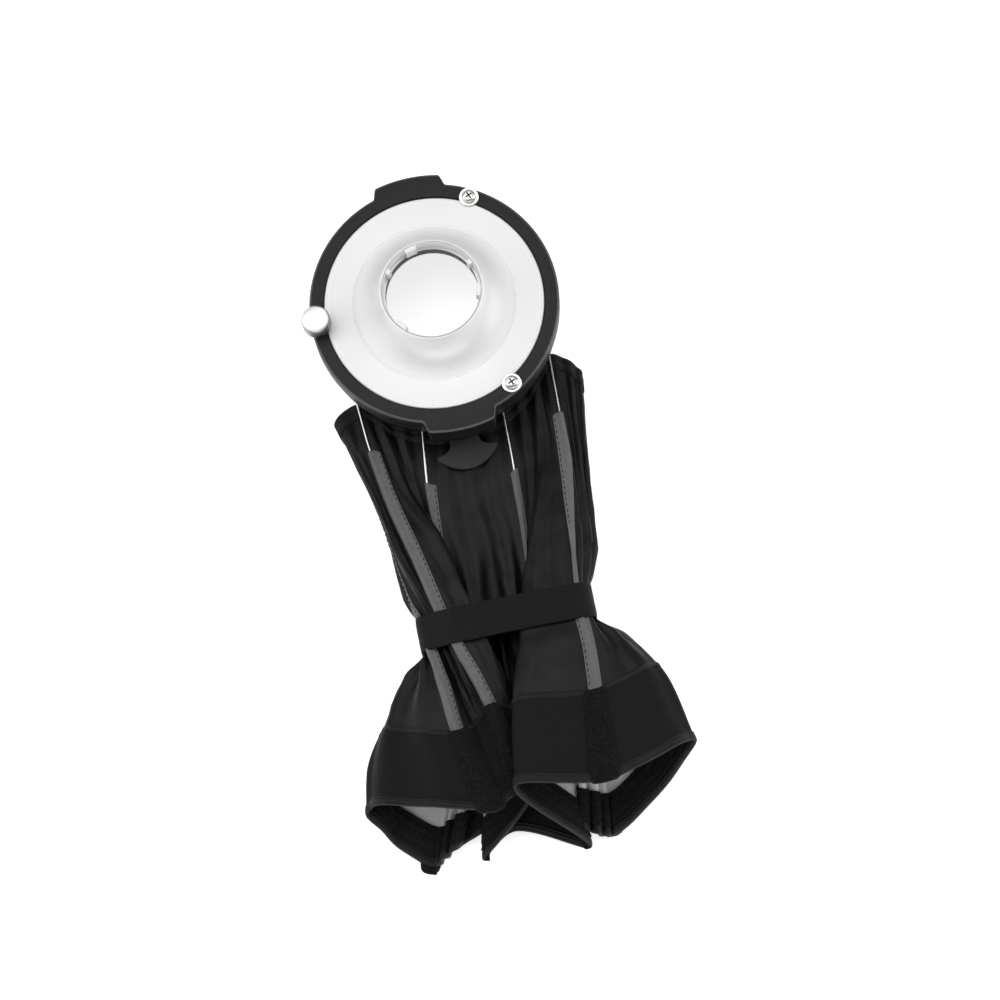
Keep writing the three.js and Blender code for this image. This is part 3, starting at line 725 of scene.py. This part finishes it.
def make_thumb_screw():
    centre = polar(71.5, 176)
    TEETH, BASE, TOP, GRIP, STUD, RIDGE = 44, 41.3, 54.7, 7.75, 2.6, 0.95

    def profile(angle):
        grip = GRIP + RIDGE * abs(math.sin(TEETH * angle / 2))
        top = [(grip, -1.4), (8.0, -0.6), (7.7, -0.15), (7.3, 0), (0.02, 0), (0.02, -6), (STUD, -6)]
        return [*raised(BASE, [(STUD, 0), (7.4, 0), (7.7, 0.5), (grip, 1.0)]), *raised(TOP, top)]

    # The knurled side segments take the darker, painted-shade aluminium.
    knob = swept_profile("knurled_thumb_knob", round_turn(TEETH * 8), profile, KNOB_METAL, centre,
                         edges=(2, 3, 4), edge_material=KNURL_PAINTED_SHADE)
    finish_piece(knob, "thumb_head", "dish_aluminium", "thumb_knob")
    profile = [(0, 31.6), (1.8, 31.6), (2.2, 32.0), (2.2, 48.0), (0, 48.0)]
    stud = turned("thumb_screw_stud", profile, NICKEL, centre, 32)
    finish_piece(stud, "thumb_shaft", "fastener_nickel", "thumb_stud")


# Release tab, its pin and its spring

TAB = {"x": -4.0, "z0": 7.8, "z1": 11.2, "pin_y": -56.0}


def make_tab():
    x0, pin_y = TAB["x"], TAB["pin_y"]
    half = [(9, -50), (9, -80)]
    half += quadratic((9, -80), (9, -85), (18, -86))
    half += quadratic((18, -86), (19.5, -88), (17, -90), 4)
    half += quadratic((17, -90), (9, -98), (0, -98), 12)
    outline = [(x0 + x, y) for x, y in half] + [(x0 - x, y) for x, y in reversed(half[:-1])]
    window = [(x0 + x, y) for x, y in ((-2.6, -53), (2.6, -53), (2.6, -67), (-2.6, -67))]
    tab = rounded_plate("anchor_release_tab", [outline, window], TAB["z0"], TAB["z1"], 0.5,
                        PLATE_BLACK)
    finish_piece(tab, "tab", "plate_black", "release_tab")
    profile = [(0, 7.3), (1.8, 7.3), (1.8, 11.3), (1.4, 11.7), (0, 11.7)]
    pin = turned("tab_pin", profile, NICKEL, (x0, pin_y), 24)
    finish_piece(pin, "ring", "fastener_nickel", "tab_guide_pin")
    COILS, COIL_RADIUS, LENGTH, MIDDLE_Z = 6, 1.2, 8.0, 9.5
    t = np.linspace(0, 1, COILS * 20)
    turn = TURN * COILS * t
    helix = np.stack([x0 + COIL_RADIUS * np.cos(turn), pin_y - 2.4 - LENGTH * t,
                      MIDDLE_Z + COIL_RADIUS * np.sin(turn)], 1)
    spring = tube("tab_return_spring", helix, 0.28, WIRE_STEEL, 8)
    finish_piece(spring, "ring", "wire_steel", "tab_spring")
    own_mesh(spring)


# Canopy. Sixteen lines run from the rear hem to the front hem: the eight ribs, and the middle of
# the panel after each rib. Ribs 1 to 4 lie on top of the bundle, 5 to 7 under it, and 0 comes
# round from below. Each line is (x, y, z) at the hem, then down the bundle to the rim.

CANOPY_LINES = [
    # rib 0, then the panel between ribs 0 and 1
    [(-71, -58, 4.5), (-66, -90, 7), (-63, -122, 11), (-61.5, -152, 16), (-59, -176, 23),
     (-57, -197, 30), (-54, -230, 38), (-53, -258, 42), (-46, -305, 46)],
    [(-77, -48, 7), (-70, -84, 12), (-64, -118, 18), (-60, -148, 24), (-54, -175, 29),
     (-48, -197, 29), (-44, -230, 30), (-39, -262, 36), (-34, -302, 43)],
    # rib 1 and after
    [(-61, -40, 7), (-56.5, -105, 16), (-51, -140, 25), (-42.5, -197, 37), (-34, -230, 40),
     (-29, -260, 40), (-27, -297, 38)],
    [(-44, -57, 7), (-42, -105, 13), (-32, -138, 25), (-25, -197, 34), (-17, -235, 33),
     (-16, -268, 29), (-23, -303, 22)],
    # rib 2 and after
    [(-26.5, -66, 7), (-32, -104, 10.5), (-36, -140, 14), (-38, -197, 16), (-42, -240, 16),
     (-47, -285, 14), (-58, -328, 9)],
    [(-4, -72, 5), (-4, -110, 9), (-5, -140, 12), (-12, -197, 19), (-16, -235, 17),
     (-25, -275, 13), (-37, -316, 8)],
    # rib 3 and after
    [(24.5, -67, 7), (20, -106, 11), (17, -140, 14), (10, -197, 15.5), (8, -240, 15),
     (6, -290, 12), (4, -337, 7)],
    [(43, -57, 7.5), (35, -105, 15), (22, -142, 25), (0, -197, 34), (-13, -232, 42),
     (-22, -263, 46), (-30, -297, 49)],
    # rib 4 and after
    [(59, -41, 7.5), (52.5, -105, 16.5), (46, -140, 26), (35, -197, 38), (33, -230, 43.5),
     (29, -260, 48.5), (22, -308, 54)],
    [(75, -56, 7), (66, -98, 12), (58.5, -137, 16), (53, -165, 19), (42, -197, 23), (59, -230, 32),
     (72, -255, 37), (78, -297, 40)],
    # rib 5 and after
    [(70, -66, 4), (61, -105, 5), (51, -150, 6), (37, -197, 7.5), (36, -235, 6), (29, -275, 5),
     (20, -333, 4)],
    [(46, -62, 3.8), (41, -120, 9), (34, -150, 18), (22, -197, 25), (20, -235, 28), (15, -275, 20),
     (6, -328, 9)],
    # rib 6 and after
    [(21, -76, 3.6), (18, -125, 5), (15, -150, 6), (8, -197, 7.5), (4, -240, 6), (-5, -275, 5),
     (-20, -306, 3.5)],
    [(-5, -78, 3.6), (-7, -125, 6), (-10, -150, 8.5), (-17, -197, 11), (-28, -235, 11),
     (-52, -278, 11), (-74, -318, 7)],
    # rib 7 and after
    [(-30, -74, 3.6), (-34, -125, 5), (-38, -150, 6), (-42, -197, 7.5), (-52, -235, 6),
     (-67, -275, 5), (-88, -323, 4)],
    [(-55, -62, 4), (-60, -115, 6), (-60.5, -150, 9), (-58, -197, 17), (-87, -228, 20),
     (-108, -257, 24), (-116, -284, 27)],
]
RIB_LENGTH, SEAM_AT = 257.0, 207.0
REAR_PANEL, FRONT_PANEL = 52.0, 119.0
ROWS, SPAN_STEPS = 130, 18
COLUMNS = len(CANOPY_LINES) * SPAN_STEPS
PANEL_COLUMNS = 2 * SPAN_STEPS
# Distances down the sheet that the lining and the pile inside the lip run between.
LINING_FROM, LINING_TO = 3.0, 235.0
PILE_FROM, PILE_TO = 234.0, 252.4


def canopy_grid():
    """Points of the sheet: rows from hem to rim, columns round it, with closed smooth sections."""
    lines = np.stack([smooth_route(line, ROWS) for line in CANOPY_LINES], axis=1)
    wrapped = np.concatenate([lines[:, -1:], lines, lines[:, :2]], axis=1)
    return np.stack([np.vstack([spline_span(row[k:k + 4], SPAN_STEPS)
                                for k in range(len(CANOPY_LINES))]) for row in wrapped])


def grid_normals(grid):
    """Outward normals of the sheet, shorter where it folds sharply so that layers don't cross."""
    along = np.gradient(grid, axis=0)
    across = np.roll(grid, -1, axis=1) - np.roll(grid, 1, axis=1)
    normal = np.cross(across, along)
    length = np.maximum(np.linalg.norm(normal, axis=2, keepdims=True), 1e-9)
    unit = -normal / length
    for _ in range(2):
        unit = (np.roll(unit, 1, axis=1) + 2 * unit + np.roll(unit, -1, axis=1)) / 4
    return unit


def panel_width(down):
    """Width of one flat panel, in metres, at a distance down it."""
    return (REAR_PANEL + (FRONT_PANEL - REAR_PANEL) * down / RIB_LENGTH) * MM


def cloth_place(down, column):
    """Where a point lies on the flat cut, in metres: round the sheet, and down it."""
    return column / COLUMNS * RIBS * panel_width(down), down * MM


BAND = {"middle": (-8.6, -197.0), "slant": math.radians(-4.3), "width": 21.0, "thick": 1.3,
        "half_inside": 50.0, "top_inside": 40.5}
BAND_ALONG = np.array([math.cos(BAND["slant"]), math.sin(BAND["slant"])])
BAND_AHEAD = np.array([-BAND_ALONG[1], BAND_ALONG[0]])
BAND_AT = 143.0

# How deep the sheet is gathered over each panel, in millimetres: at the hem, the band and the lip.
# Then how many pleats each panel has.
GATHERS = [(0.5, 1.4, 0.2), (0.9, 1.3, 0.2), (0.8, 1.2, 0.6), (1.0, 1.6, 0.25),
           (0.8, 3.0, 0.8), (1.4, 6.0, 4.6), (1.4, 6.0, 4.6), (1.2, 5.4, 1.7)]
WAVES = [2, 3, 4, 3, 5, 5, 5, 5]
SPREAD, FLOOR_CLEARANCE = 0.7, 2.2


def wrinkled(grid):
    """Pleats that run down the panels, deepest where the band gathers them, and finer creases."""
    normal = grid_normals(grid)
    down = np.linspace(0, RIB_LENGTH, ROWS)[:, None]
    column = np.arange(COLUMNS)
    panel = column // PANEL_COLUMNS
    across = (column % PANEL_COLUMNS) / PANEL_COLUMNS
    hem, band, lip = np.array(GATHERS)[panel].T
    table = np.stack([hem, 0.7 * hem + 0.3 * band, band, band, lip, lip])
    marks = [0, 40, BAND_AT - 18, BAND_AT + 14, SEAM_AT - 10, RIB_LENGTH]
    at = np.interp(down.ravel(), marks, np.arange(6.0))
    low = np.floor(at).astype(int).clip(0, 4)
    share = (at - low)[:, None]
    depth = table[low] * (1 - share) + table[low + 1] * share
    slack = np.sin(np.pi * across) ** SPREAD
    sway = np.array([[noise_at(3.1 * p, d / 60.0, 0.7) for p in range(RIBS)] for d in down.ravel()])
    waves = np.array(WAVES)[panel] * across
    pleats = np.sin(TURN * waves + 1.1 * panel + 2.2 * sway[:, panel])
    creases = np.array([[crease(d, c, s) for c, s in circle(1.0, count=COLUMNS)]
                        for d in down.ravel()])
    limp = 0.3 + 0.7 * np.clip((SEAM_AT + 4 - down) / 18, 0, 1)
    near_hem = np.clip(down / 14, 0.35, 1)
    height = (pleats * depth + creases * limp * near_hem) * slack
    return waisted(grid + normal * height[..., None])


def crease(down, c, s):
    """Height of the handling creases, which crowd where the band pinches the sheet."""
    LEVEL, POWER = 0.42, 0.8
    coarse = LEVEL - abs(noise_at(7 * c, 7 * s, down / 62.0)) ** POWER
    fine = LEVEL - abs(noise_at(16 * c, 16 * s, down / 24.0 + 5)) ** POWER
    pinch = 0.6 + 0.9 * math.exp(-((down - BAND_AT) / 42) ** 2)
    return (2.6 * coarse + 1.6 * fine) * pinch


def waisted(grid):
    """Keeps the sheet inside the band where the band grips it, and off the floor."""
    along, ahead = band_coordinates(grid)
    grip = np.exp(-(ahead / 15.0) ** 4)
    excess = np.sign(along) * np.maximum(np.abs(along) - BAND["half_inside"], 0) * grip
    pulled = grid.copy()
    pulled[..., :2] -= excess[..., None] * BAND_ALONG
    pulled[..., 2] -= np.maximum(grid[..., 2] - BAND["top_inside"], 0) * grip
    pulled[..., 2] = np.maximum(pulled[..., 2], FLOOR_CLEARANCE)
    return pulled


def band_coordinates(grid):
    """Distance along the band from its middle, and ahead of its centre line, for each point."""
    offset = grid[..., :2] - np.array(BAND["middle"])
    return offset @ BAND_ALONG, offset @ BAND_AHEAD


class Cloth:
    """The gathered sheet, with points and normals at any distance down it."""

    def __init__(self, grid):
        self.grid = grid
        self.normal = grid_normals(grid)

    def rows(self, field, down):
        at = np.asarray(down, float) / RIB_LENGTH * (ROWS - 1)
        low = np.floor(at).astype(int).clip(0, ROWS - 2)
        share = (at - low)[:, None, None]
        return field[low] * (1 - share) + field[low + 1] * share

    def beside(self, column, down, offsets):
        """Points and normals at distances to either side of a column, a row of them for each
        distance down."""
        reach = PANEL_COLUMNS
        index = (column + np.arange(-reach, reach + 1)) % COLUMNS
        lines, normals = (self.rows(field, down)[:, index] for field in (self.grid, self.normal))
        points, ups = [], []
        for line, normal, offset in zip(lines, normals, offsets):
            length = walked(line)
            length -= length[reach]
            points.append(read_off(offset, length, line))
            ups.append(read_off(offset, length, normal))
        ups = np.stack(ups)
        return np.stack(points), ups / np.linalg.norm(ups, axis=2, keepdims=True)


def slab(name, points, normals, top, bottom, material, uvs):
    """A closed patch of cloth between two heights, top and bottom, above a grid of points."""
    rows, columns = points.shape[:2]
    count = rows * columns
    outer = points + normals * np.broadcast_to(top, (rows, columns))[..., None]
    inner = points + normals * np.broadcast_to(bottom, (rows, columns))[..., None]
    verts = np.concatenate([outer.reshape(-1, 3), inner.reshape(-1, 3)])
    under = grid_faces(rows, columns)
    faces = [tuple(reversed(f)) for f in under] + [tuple(v + count for v in f) for f in under]
    edge = [*range(columns), *(i * columns + columns - 1 for i in range(1, rows))]
    edge += [(rows - 1) * columns + j for j in range(columns - 2, -1, -1)]
    edge += [i * columns for i in range(rows - 2, 0, -1)]
    faces += [(a, b, b + count, a + count) for a, b in zip(edge, edge[1:] + edge[:1])]
    both = np.concatenate([uvs.reshape(-1, 2)] * 2)
    return mesh_object(name, verts, faces, material, both)


def loop_on_cloth(name, cloth, profile, material):
    """A closed ring round the sheet: profile is (distance down the sheet, height above it)."""
    down, height = np.array(profile, float).T
    normals = cloth.rows(cloth.normal, down)
    points = cloth.rows(cloth.grid, down) + normals * height[:, None, None]
    uvs = [cloth_place(d + 1.5 * h, c) for d, h in profile for c in range(COLUMNS)]
    faces = grid_faces(len(profile), COLUMNS, close_rows=True, close_columns=True)
    outward = [tuple(reversed(face)) for face in faces]
    return mesh_object(name, points.reshape(-1, 3), outward, material, uvs)


def shell_on_cloth(name, cloth, first, last, high, low, material):
    """A layer of the sheet between two distances down it, from height low to height high."""
    down = np.linspace(first, last, int(round((last - first) / RIB_LENGTH * ROWS)) + 1)
    profile = [(d, high) for d in down] + [(d, low) for d in reversed(down)]
    return loop_on_cloth(name, cloth, profile, material)


def bend_piece(piece, slot, *nodes):
    """A piece that runs from the ring into the bundle: bakes its placement into its mesh and hides
    the parts it stands for.
    """
    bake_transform(piece)
    if nodes:
        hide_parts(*nodes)


def make_canopy(cloth):
    upper = shell_on_cloth("canopy_cloth", cloth, 0.0, SEAM_AT + 1, 0.0, -0.3, CANOPY_BLACK)
    bend_piece(upper, "canopy_black", "canopy_neck", "canopy_core", "canopy_fold_left",
               "canopy_fold_right", "canopy_skirt_left", "canopy_skirt_right")
    lip = shell_on_cloth("canopy_lip", cloth, SEAM_AT - 1, RIB_LENGTH, 0.3, -0.3, LIP_BLACK)
    finish_piece(lip, "bundle", "canopy_black")
    lining = shell_on_cloth("canopy_lining", cloth, LINING_FROM, LINING_TO, -0.35, -0.6,
                            LINING_WHITE)
    bend_piece(lining, "lining_white", "lining_left", "lining_right")
    seam = loop_on_cloth("canopy_lip_seam", cloth, [
        (205.4, 0.02), (205.8, 0.5), (206.6, 0.75), (208.0, 0.75), (208.6, 0.55), (208.8, 0.1),
        (207.0, -0.1),
    ], HEM_BLACK)
    finish_piece(seam, "bundle", "canopy_black")
    front = loop_on_cloth("front_hem_binding", cloth, [
        (252.2, 0.3), (252.4, 0.8), (252.9, 1.15), (253.3, 1.0), (253.5, 0.75), (253.8, 1.05),
        (254.9, 1.25), (255.8, 1.05), (256.1, 0.75), (256.4, 1.05), (257.3, 0.9), (258.0, 0.0),
        (257.4, -1.3), (256.0, -1.7), (254.0, -1.75), (252.7, -1.5), (252.3, -0.9),
    ], HEM_BLACK)
    finish_piece(front, "bundle", "canopy_black", "front_hem_left", "front_hem_right")
    rear = loop_on_cloth("rear_hem_binding", cloth, [
        (-0.8, 0.0), (-0.3, 0.9), (0.8, 1.2), (2.6, 1.1), (3.0, 0.8), (3.4, 1.1), (7.4, 1.1),
        (7.8, 0.7), (8.2, 0.95), (8.8, 0.3), (8.4, -1.0), (4.0, -1.2), (0.5, -1.1),
    ], HEM_BLACK)
    bend_piece(rear, "canopy_black", "rear_hem")
    down = np.linspace(PILE_FROM + 0.5, PILE_TO - 0.4, 20)
    rough = [(d, -2.0 - 0.35 * math.sin(9.7 * k) * math.cos(4.3 * k)) for k, d in enumerate(down)]
    inner = loop_on_cloth("inner_pile_band", cloth, [
        (PILE_FROM, -0.8), (PILE_FROM + 0.2, -1.6), *rough, (PILE_TO, -1.4), (PILE_TO, -0.5),
        (245.0, -0.5),
    ], FUZZY_BLACK)
    finish_piece(inner, "bundle", "fuzzy_black")


# Wires and their sleeves. A wire hooks over its post by a small eye, then runs down under its
# sleeve to the rim. Ribs 1 to 4 are still on their posts; the rest have been let go.

WIRE_STARTS = [
    [(-66, -58, 2.6), (-66, -68, 2.8)],
    [(-57.3, -23.7, 9.5), (-61, -40, 9.6)],
    [(-23.7, -57.3, 9.5), (-27.5, -70, 9.6)],
    [(23.7, -57.3, 9.5), (22.9, -70, 9.6)],
    [(57.3, -23.7, 9.5), (59.3, -42, 9.6)],
    [(68, -64, 2.6), (67, -74, 2.8)],
    [(22, -72, 2.6), (21.5, -88, 3.0)],
    [(-26, -72, 2.6), (-29, -88, 3.0)],
]
WIRE_RADIUS, EYE_RADIUS = 0.75, 2.7
# Each sleeve: its (distance down, left edge, right edge) from its start, the wire's place across
# it, and the side its stitches are on.
SLEEVES = [
    ([(30, -4.0, 4.2), (120, -4.2, 4.2), (207, -4.0, 3.8)], -0.6, "right"),
    ([(31, -3.6, 4.6), (120, -4.2, 4.8), (207, -3.6, 3.8)], -1.4, "right"),
    ([(34, -2.6, 4.2), (120, -3.0, 4.0), (207, -4.0, 4.0)], -1.2, "right"),
    ([(38, -2.4, 2.8), (120, -2.4, 2.6), (207, -4.0, 4.0)], 0.3, "left"),
    ([(36, -4.6, 2.8), (66, -4.6, 3.6), (98, -3.4, 3.0), (124, -1.4, 1.8), (150, -1.4, 2.4),
      (165, -3.6, 4.6), (207, -3.6, 4.8)], 0.6, "left"),
    ([(28, -4.0, 4.0), (207, -4.0, 4.0)], 0.0, "right"),
    ([(26, -4.0, 4.0), (207, -4.0, 4.0)], 0.0, "right"),
    ([(26, -4.0, 4.0), (207, -4.0, 4.0)], 0.0, "right"),
]


def sleeve_edges(table, down):
    at, left, right = np.array(table).T
    return np.interp(down, at, left), np.interp(down, at, right)


def eye_path(centre, towards):
    """Most of a turn round a post, starting beside the side the wire leaves from."""
    leave = math.atan2(towards[1] - centre[1], towards[0] - centre[0])
    turns = leave + np.radians(np.linspace(48, 345, 22))
    return [(centre[0] + EYE_RADIUS * math.cos(a), centre[1] + EYE_RADIUS * math.sin(a), centre[2])
            for a in turns]


def make_wire(cloth, k):
    post, *bridge = WIRE_STARTS[k]
    table, wire_at, _ = SLEEVES[k]
    down = np.linspace(table[0][0] - 6, 249, 26)
    inside, up = cloth.beside(k * PANEL_COLUMNS, down, np.full((len(down), 1), wire_at))
    body = inside[:, 0] + up[:, 0] * (WIRE_RADIUS + 0.05)
    run = smooth_route([*bridge, *body], 130)
    wire = tube(f"rib_wire_{k}", [*eye_path(post, bridge[0]), *run], WIRE_RADIUS, WIRE_STEEL)
    bend_piece(wire, "wire_steel", f"wire_{k}")


def stitches(cloth, k):
    """A row of thread dashes along one edge of a sleeve."""
    PITCH, DASH, INSET, NARROWEST, THREAD_RADIUS = 3.7, 2.3, 1.1, 3.5, 0.27
    table, _, side = SLEEVES[k]
    pieces = []
    for start in np.arange(table[0][0] + 2.5, SEAM_AT - 3, PITCH):
        down = np.linspace(start, start + DASH, 4)
        left, right = sleeve_edges(table, down)
        if (right - left).min() < NARROWEST:
            continue
        edge = right - INSET if side == "right" else left + INSET
        points, up = cloth.beside(k * PANEL_COLUMNS, down, edge[:, None])
        points = points[:, 0] + up[:, 0] * 0.62
        pieces.append(tube("stitch", points, THREAD_RADIUS, THREAD_BLACK, 6))
    return pieces


def make_sleeve(cloth, k):
    table, wire_at, _ = SLEEVES[k]
    down = np.linspace(table[0][0], SEAM_AT + 0.5, 110)
    left, right = sleeve_edges(table, down)
    offsets = left[:, None] + (right - left)[:, None] * np.linspace(0, 1, 15)
    points, up = cloth.beside(k * PANEL_COLUMNS, down, offsets)
    ripple = np.array([0.25 * noise_at(k, d / 9.0, 0) for d in down])[:, None]
    top = 0.5 + 1.75 * np.exp(-((offsets - wire_at) / 1.6) ** 2) + ripple
    sleeve = slab("sleeve_tape", points, up, top, 0.05, SLEEVE_GREY, flat_place(offsets, down))
    piece = join(f"rib_sleeve_{k}", [sleeve, *stitches(cloth, k)])
    bend_piece(piece, "sleeve_grey", f"sleeve_{k}")


def flat_place(offsets, down):
    """Cloth coordinates, in metres, of a narrow strip along a rib."""
    return np.stack(np.broadcast_arrays(offsets * MM, down[:, None] * MM), 2)


STRIP_ENDS = [260.5, 258.5, 258.0, 258.0, 259.0, 258.0, 258.0, 262.0]
STRIP_WIDTHS = [1.0, 1.0, 0.62, 0.62, 1.0, 0.7, 0.7, 0.8]


def make_strip(cloth, k):
    """Loop pile over a rib's outer end, wider towards the rim, with a ragged end."""
    down = np.linspace(SEAM_AT, STRIP_ENDS[k], 74)
    share = (down - SEAM_AT) / (RIB_LENGTH - SEAM_AT)
    half = (6.6 + 2.9 * np.clip(share, 0, 1)) * STRIP_WIDTHS[k]
    round_off = np.clip((STRIP_ENDS[k] - down) / 4.0, 0, 1)
    half = half * (0.72 + 0.28 * np.sqrt(1 - (1 - round_off) ** 2))
    across = np.linspace(-1, 1, 30)
    ragged = np.array([[0.45 * noise_at(side * 3, d / 1.6, k) for side in (-1, 1)] for d in down])
    edge = np.where(across[None, :] < 0, ragged[:, :1], ragged[:, 1:])
    offsets = (half[:, None] + edge) * across
    points, up = cloth.beside(k * PANEL_COLUMNS, down, offsets)
    pile = [[1.1 + 0.75 * noise_at(c * 9, d / 1.05, k * 3.3) for c in across] for d in down]
    cushion = (1 - across[None, :] ** 6) * 0.9 + 0.15
    top = 0.5 + (0.85 + np.array(pile)) * cushion
    top += 0.9 * np.exp(-(offsets / 2.2) ** 2)
    strip = slab(f"pile_strip_{k}", points, up, top, 0.1, FUZZY_BLACK, flat_place(offsets, down))
    finish_piece(strip, "bundle", "fuzzy_black", f"strip_{k}")


# Elastic band round the bundle


def hull(points):
    """Convex outline of 2-D points, anticlockwise."""
    points = sorted(map(tuple, points))

    def half(run):
        chain = []
        for p in run:
            while len(chain) > 1 and np.cross(np.subtract(chain[-1], chain[-2]),
                                              np.subtract(p, chain[-1])) <= 0:
                chain.pop()
            chain.append(p)
        return chain[:-1]

    return half(points) + half(points[::-1])


def band_loop(cloth):
    """A stretched loop: the rounded hull of the bundle under the band, and its outward normals."""
    along, ahead = band_coordinates(cloth.grid)
    near = np.abs(ahead) < 6
    outline = np.array(hull(np.stack([along[near], cloth.grid[..., 2][near]], 1)))
    closed = np.vstack([outline, outline[:1]])
    length = walked(closed)
    loop = read_off(np.linspace(0, length[-1], 240, endpoint=False), length, closed)
    for _ in range(6):
        loop = (np.roll(loop, 1, 0) + 2 * loop + np.roll(loop, -1, 0)) / 4
    ahead = np.roll(loop, -1, 0) - np.roll(loop, 1, 0)
    away = np.stack([ahead[:, 1], -ahead[:, 0]], 1)
    return loop, away / np.linalg.norm(away, axis=1)[:, None]


def band_piece(name, loop, away, first, last, inner, thick):
    """Part of the band, from one point of the loop to another, with slightly rolled edges."""
    closed = last - first >= len(loop)
    index = np.arange(first, last) % len(loop)
    width = np.linspace(-1, 1, 17)
    rows = []
    for share in width:
        curl = 0.35 * abs(share) ** 6
        wave = np.array([0.25 * noise_at(i / 14.0, share * 1.5, 2.0) for i in index])
        rows.append(loop[index] + away[index] * (inner - curl + wave)[:, None])
    rows = np.stack(rows)
    edge = np.array([0.3 * noise_at(i / 9.0, 0, 8.0) for i in index])
    ahead = width[:, None] * (BAND["width"] / 2) + edge[None, :]
    flat = rows[..., :1] * BAND_ALONG + ahead[..., None] * BAND_AHEAD + np.array(BAND["middle"])
    points = np.concatenate([flat, rows[..., 1:]], axis=2)
    up = np.hstack([away[index, :1] * BAND_ALONG, away[index, 1:]])
    normals = np.broadcast_to(up, points.shape)
    walk = np.arange(len(index)) * np.linalg.norm(loop[1] - loop[0])
    uvs = np.stack(np.broadcast_arrays(walk[None, :] * MM, ahead * MM), 2)
    if not closed:
        return slab(name, points, normals, thick, 0.0, BAND_BLACK, uvs)
    rings = np.concatenate([points + normals * thick, points[::-1]])
    both = np.concatenate([uvs, uvs[::-1]]).reshape(-1, 2)
    faces = grid_faces(len(rings), len(index), close_rows=True, close_columns=True)
    return mesh_object(name, rings.reshape(-1, 3), faces, BAND_BLACK, both)


def make_elastic(cloth):
    loop, away = band_loop(cloth)
    belt = band_piece("elastic_loop", loop, away, 0, len(loop), 1.7, BAND["thick"])
    finish_piece(belt, "bundle", "band_black", "elastic_band")
    seam = int(np.argmin(loop[:, 1] + 0.01 * np.abs(loop[:, 0] - 20)))
    lap = band_piece("elastic_lap", loop, away, seam - 12, seam + 12, 1.3, 0.5)
    finish_piece(lap, "bundle", "band_black")


def main():
    make_camera()
    make_stage()
    make_ring()
    make_rear_plate()
    make_dish()
    make_bayonet()
    make_clamp_screws()
    make_thumb_screw()
    make_tab()
    cloth = Cloth(wrinkled(canopy_grid()))
    make_canopy(cloth)
    for k in range(RIBS):
        make_wire(cloth, k)
        make_sleeve(cloth, k)
        make_strip(cloth, k)
    make_elastic(cloth)


main()
